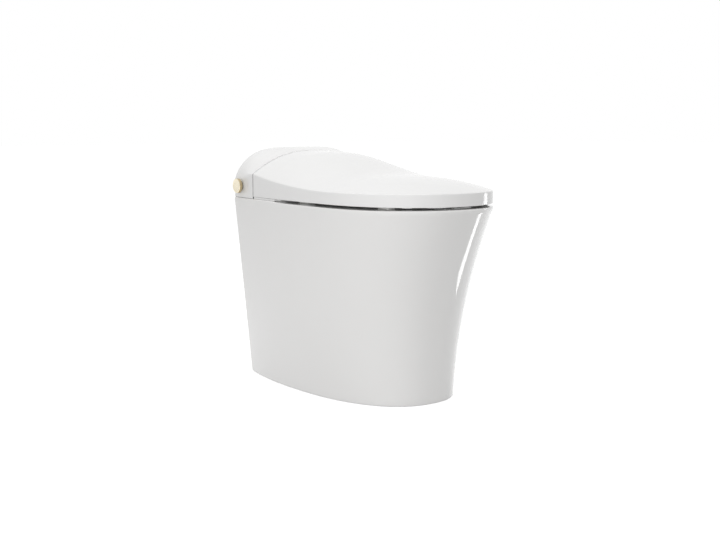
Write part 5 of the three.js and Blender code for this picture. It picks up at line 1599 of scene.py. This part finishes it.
dress(make_body(), "bowl_body", "bowl_basin", "trapway")
dress(finished(make_lugs(make_lid())), "lid")
dress(make_cover(), "rear_cover")
# A dark band in the seam: painted shadow between lid and cover.
fitted(make_shadow_lining(), "rear_cover", "dark_plastic")
fitted(make_pan_edges(), "base_pan")
for make, node in ((make_seat_upper, "seat_upper_shell"), (make_seat_lower, "seat_lower_shell"),
                   (make_housing, "unit_housing"), (make_window, "occupancy_window")):
    dress(make(), node)
for corner in CORNERS:
    dress(make_seat_bumper("seat_bumper_" + corner), "seat_bumper_" + corner)
    dress(make_lid_bumper("lid_bumper_" + corner), "lid_bumper_" + corner)
for side in SIDES:
    dress(make_pin("hinge_pin_" + side), "hinge_pin_" + side)
    dress(make_damper("damper_" + side), "damper_" + side)
    dress(make_screw("floor_screw_" + side), "floor_screw_" + side)
    dress(softened("floor_bracket_" + side), "floor_bracket_" + side)

for make, node in ((make_wand, "nozzle_wand"), (make_wand_tip, "nozzle_tip"),
                   (make_rack, "wand_rack"), (make_pinion, "drive_pinion"),
                   (make_blower_wheel, "dryer_wheel"), (make_flap, "dryer_flap"),
                   (make_knob, "knob_cap"), (make_knob_bezel, "knob_bezel"),
                   (make_knob_shaft, "knob_shaft"), (make_seal, "outlet_seal")):
    dress(make(), node)
dress(make_stub("water_inlet", "supply_stub", LOOKS["steel"]), "water_inlet")
dress(make_stub("cord_gland", "lead_gland", DARK), "cord_gland")
board, capacitors = make_board()
dress(board, "control_board")
fitted(capacitors, "control_board", "dark_plastic")
dress(make_tank(), "flush_tank")
dress(softened("flush_pump", 0.8 * MM), "flush_pump")
dress(softened("water_heater", 0.8 * MM), "water_heater")
dress(make_air_pump(), "air_pump")
for node, edge in (("base_pan", 0.8), ("front_bulkhead", 0.4), ("hinge_tower", 1.2),
                   ("wand_guide", 0.4), ("wand_motor", 0.8), ("inlet_valve", 0.6),
                   ("board_case", 0.6), ("dryer_casing", 0.7), ("dryer_duct", 0.3),
                   ("deodoriser", 0.8), ("knob_encoder", 0.5), ("seat_heater", 0.2)):
    dress(softened(node, edge * MM), node)

for node, thing in frame["nodes"].items():
    if not thing.hide_render:
        thing.data.materials.clear()
        thing.data.materials.append(LOOKS[SLOT_OF[node]])

# ---------------------------------------------------------------- floor, backdrop and light

SKY_LEVEL = 0.50
FLOOR_LIFT, FLOOR_BOUNCE = 0.56, 0.44
FLOOR_REACH, FLOOR_LEVEL = 30.0, -0.5 * MM
HEART = Vector((0, 0, 0.3))  # the point that the broad lamps face
CARD, CARD_TURN = Vector((0.78, -0.381, 0.02)), 9.5  # lies low and shines upwards


def looked_at(shade):
    """1 for the camera's and reflected rays, 0 for light that bounces between surfaces."""
    path = shade.node("ShaderNodeLightPath")
    seen = path.out("Is Camera Ray") + path.out("Is Glossy Ray") + path.out("Is Transmission Ray")
    return seen.least(1.0)


def add_floor():
    """A plain white floor that keeps the shadow and throws only soft light back up."""
    shade = Shade("floor_white")
    pale = shade.node("ShaderNodeBsdfDiffuse", None, {"Color": white(0.95)}).out(0)
    lift = shade.node("ShaderNodeEmission", None, {"Strength": FLOOR_LIFT}).out(0)
    bright = shade.node("ShaderNodeAddShader", None, {0: pale, 1: lift}).out(0)
    dim = shade.node("ShaderNodeBsdfDiffuse", None, {"Color": white(FLOOR_BOUNCE)}).out(0)
    mixed = shade.node("ShaderNodeMixShader", None, {0: looked_at(shade), 1: dim, 2: bright})
    shade.node("ShaderNodeOutputMaterial", None, {"Surface": mixed.out(0)})
    corners = [(x * FLOOR_REACH, y * FLOOR_REACH, FLOOR_LEVEL)
               for x, y in ((-1, -1), (1, -1), (1, 1), (-1, 1))]
    floor = new_object("floor", corners, [(0, 1, 2, 3)])
    floor.data.materials.append(shade.material)


def add_world():
    world = bpy.data.worlds.new("studio")
    bpy.context.scene.world = world
    world.use_nodes = True
    shade = Shade("studio", world.node_tree)
    strength = mix(SKY_LEVEL, 1.0, looked_at(shade))
    sky = shade.node("ShaderNodeBackground", None, {"Color": white(1.0), "Strength": strength})
    shade.node("ShaderNodeOutputWorld", None, {"Surface": sky.out(0)})


def add_lamp(name, place, target, size, power, seen=True):
    data = bpy.data.lights.new(name, "AREA")
    data.shape = "RECTANGLE"
    data.size, data.size_y = size
    data.energy = power
    lamp = bpy.data.objects.new(name, data)
    lamp.visible_camera = False
    lamp.visible_glossy = seen
    bpy.context.scene.collection.objects.link(lamp)
    point_at(lamp, place, target)
    return lamp


add_floor()
add_world()
add_lamp("overhead", Vector((0, 0, 3.0)), HEART, (3.0, 3.0), 33, seen=False)
add_lamp("key", HEART + 3.2 * direction(-52.5, 7), HEART, (2.4, 1.6), 43, seen=False)
card = add_lamp("low_card", CARD, CARD + Vector((0, 0, 1)), (0.52, 0.055), 0.30)
card.rotation_euler = (math.pi, 0, math.radians(CARD_TURN))
add_lamp("edge_strip", (2.5, -0.50, 0.14), (0, -0.2, 0.45), (0.44, 0.5), 3.4)
fill_place = Vector((0, 0, 0.35)) + 3.0 * direction(75, 0)
add_lamp("side_fill", fill_place, HEART, (2.0, 1.5), 6, seen=False)

bpy.context.scene.view_settings.view_transform = "Standard"
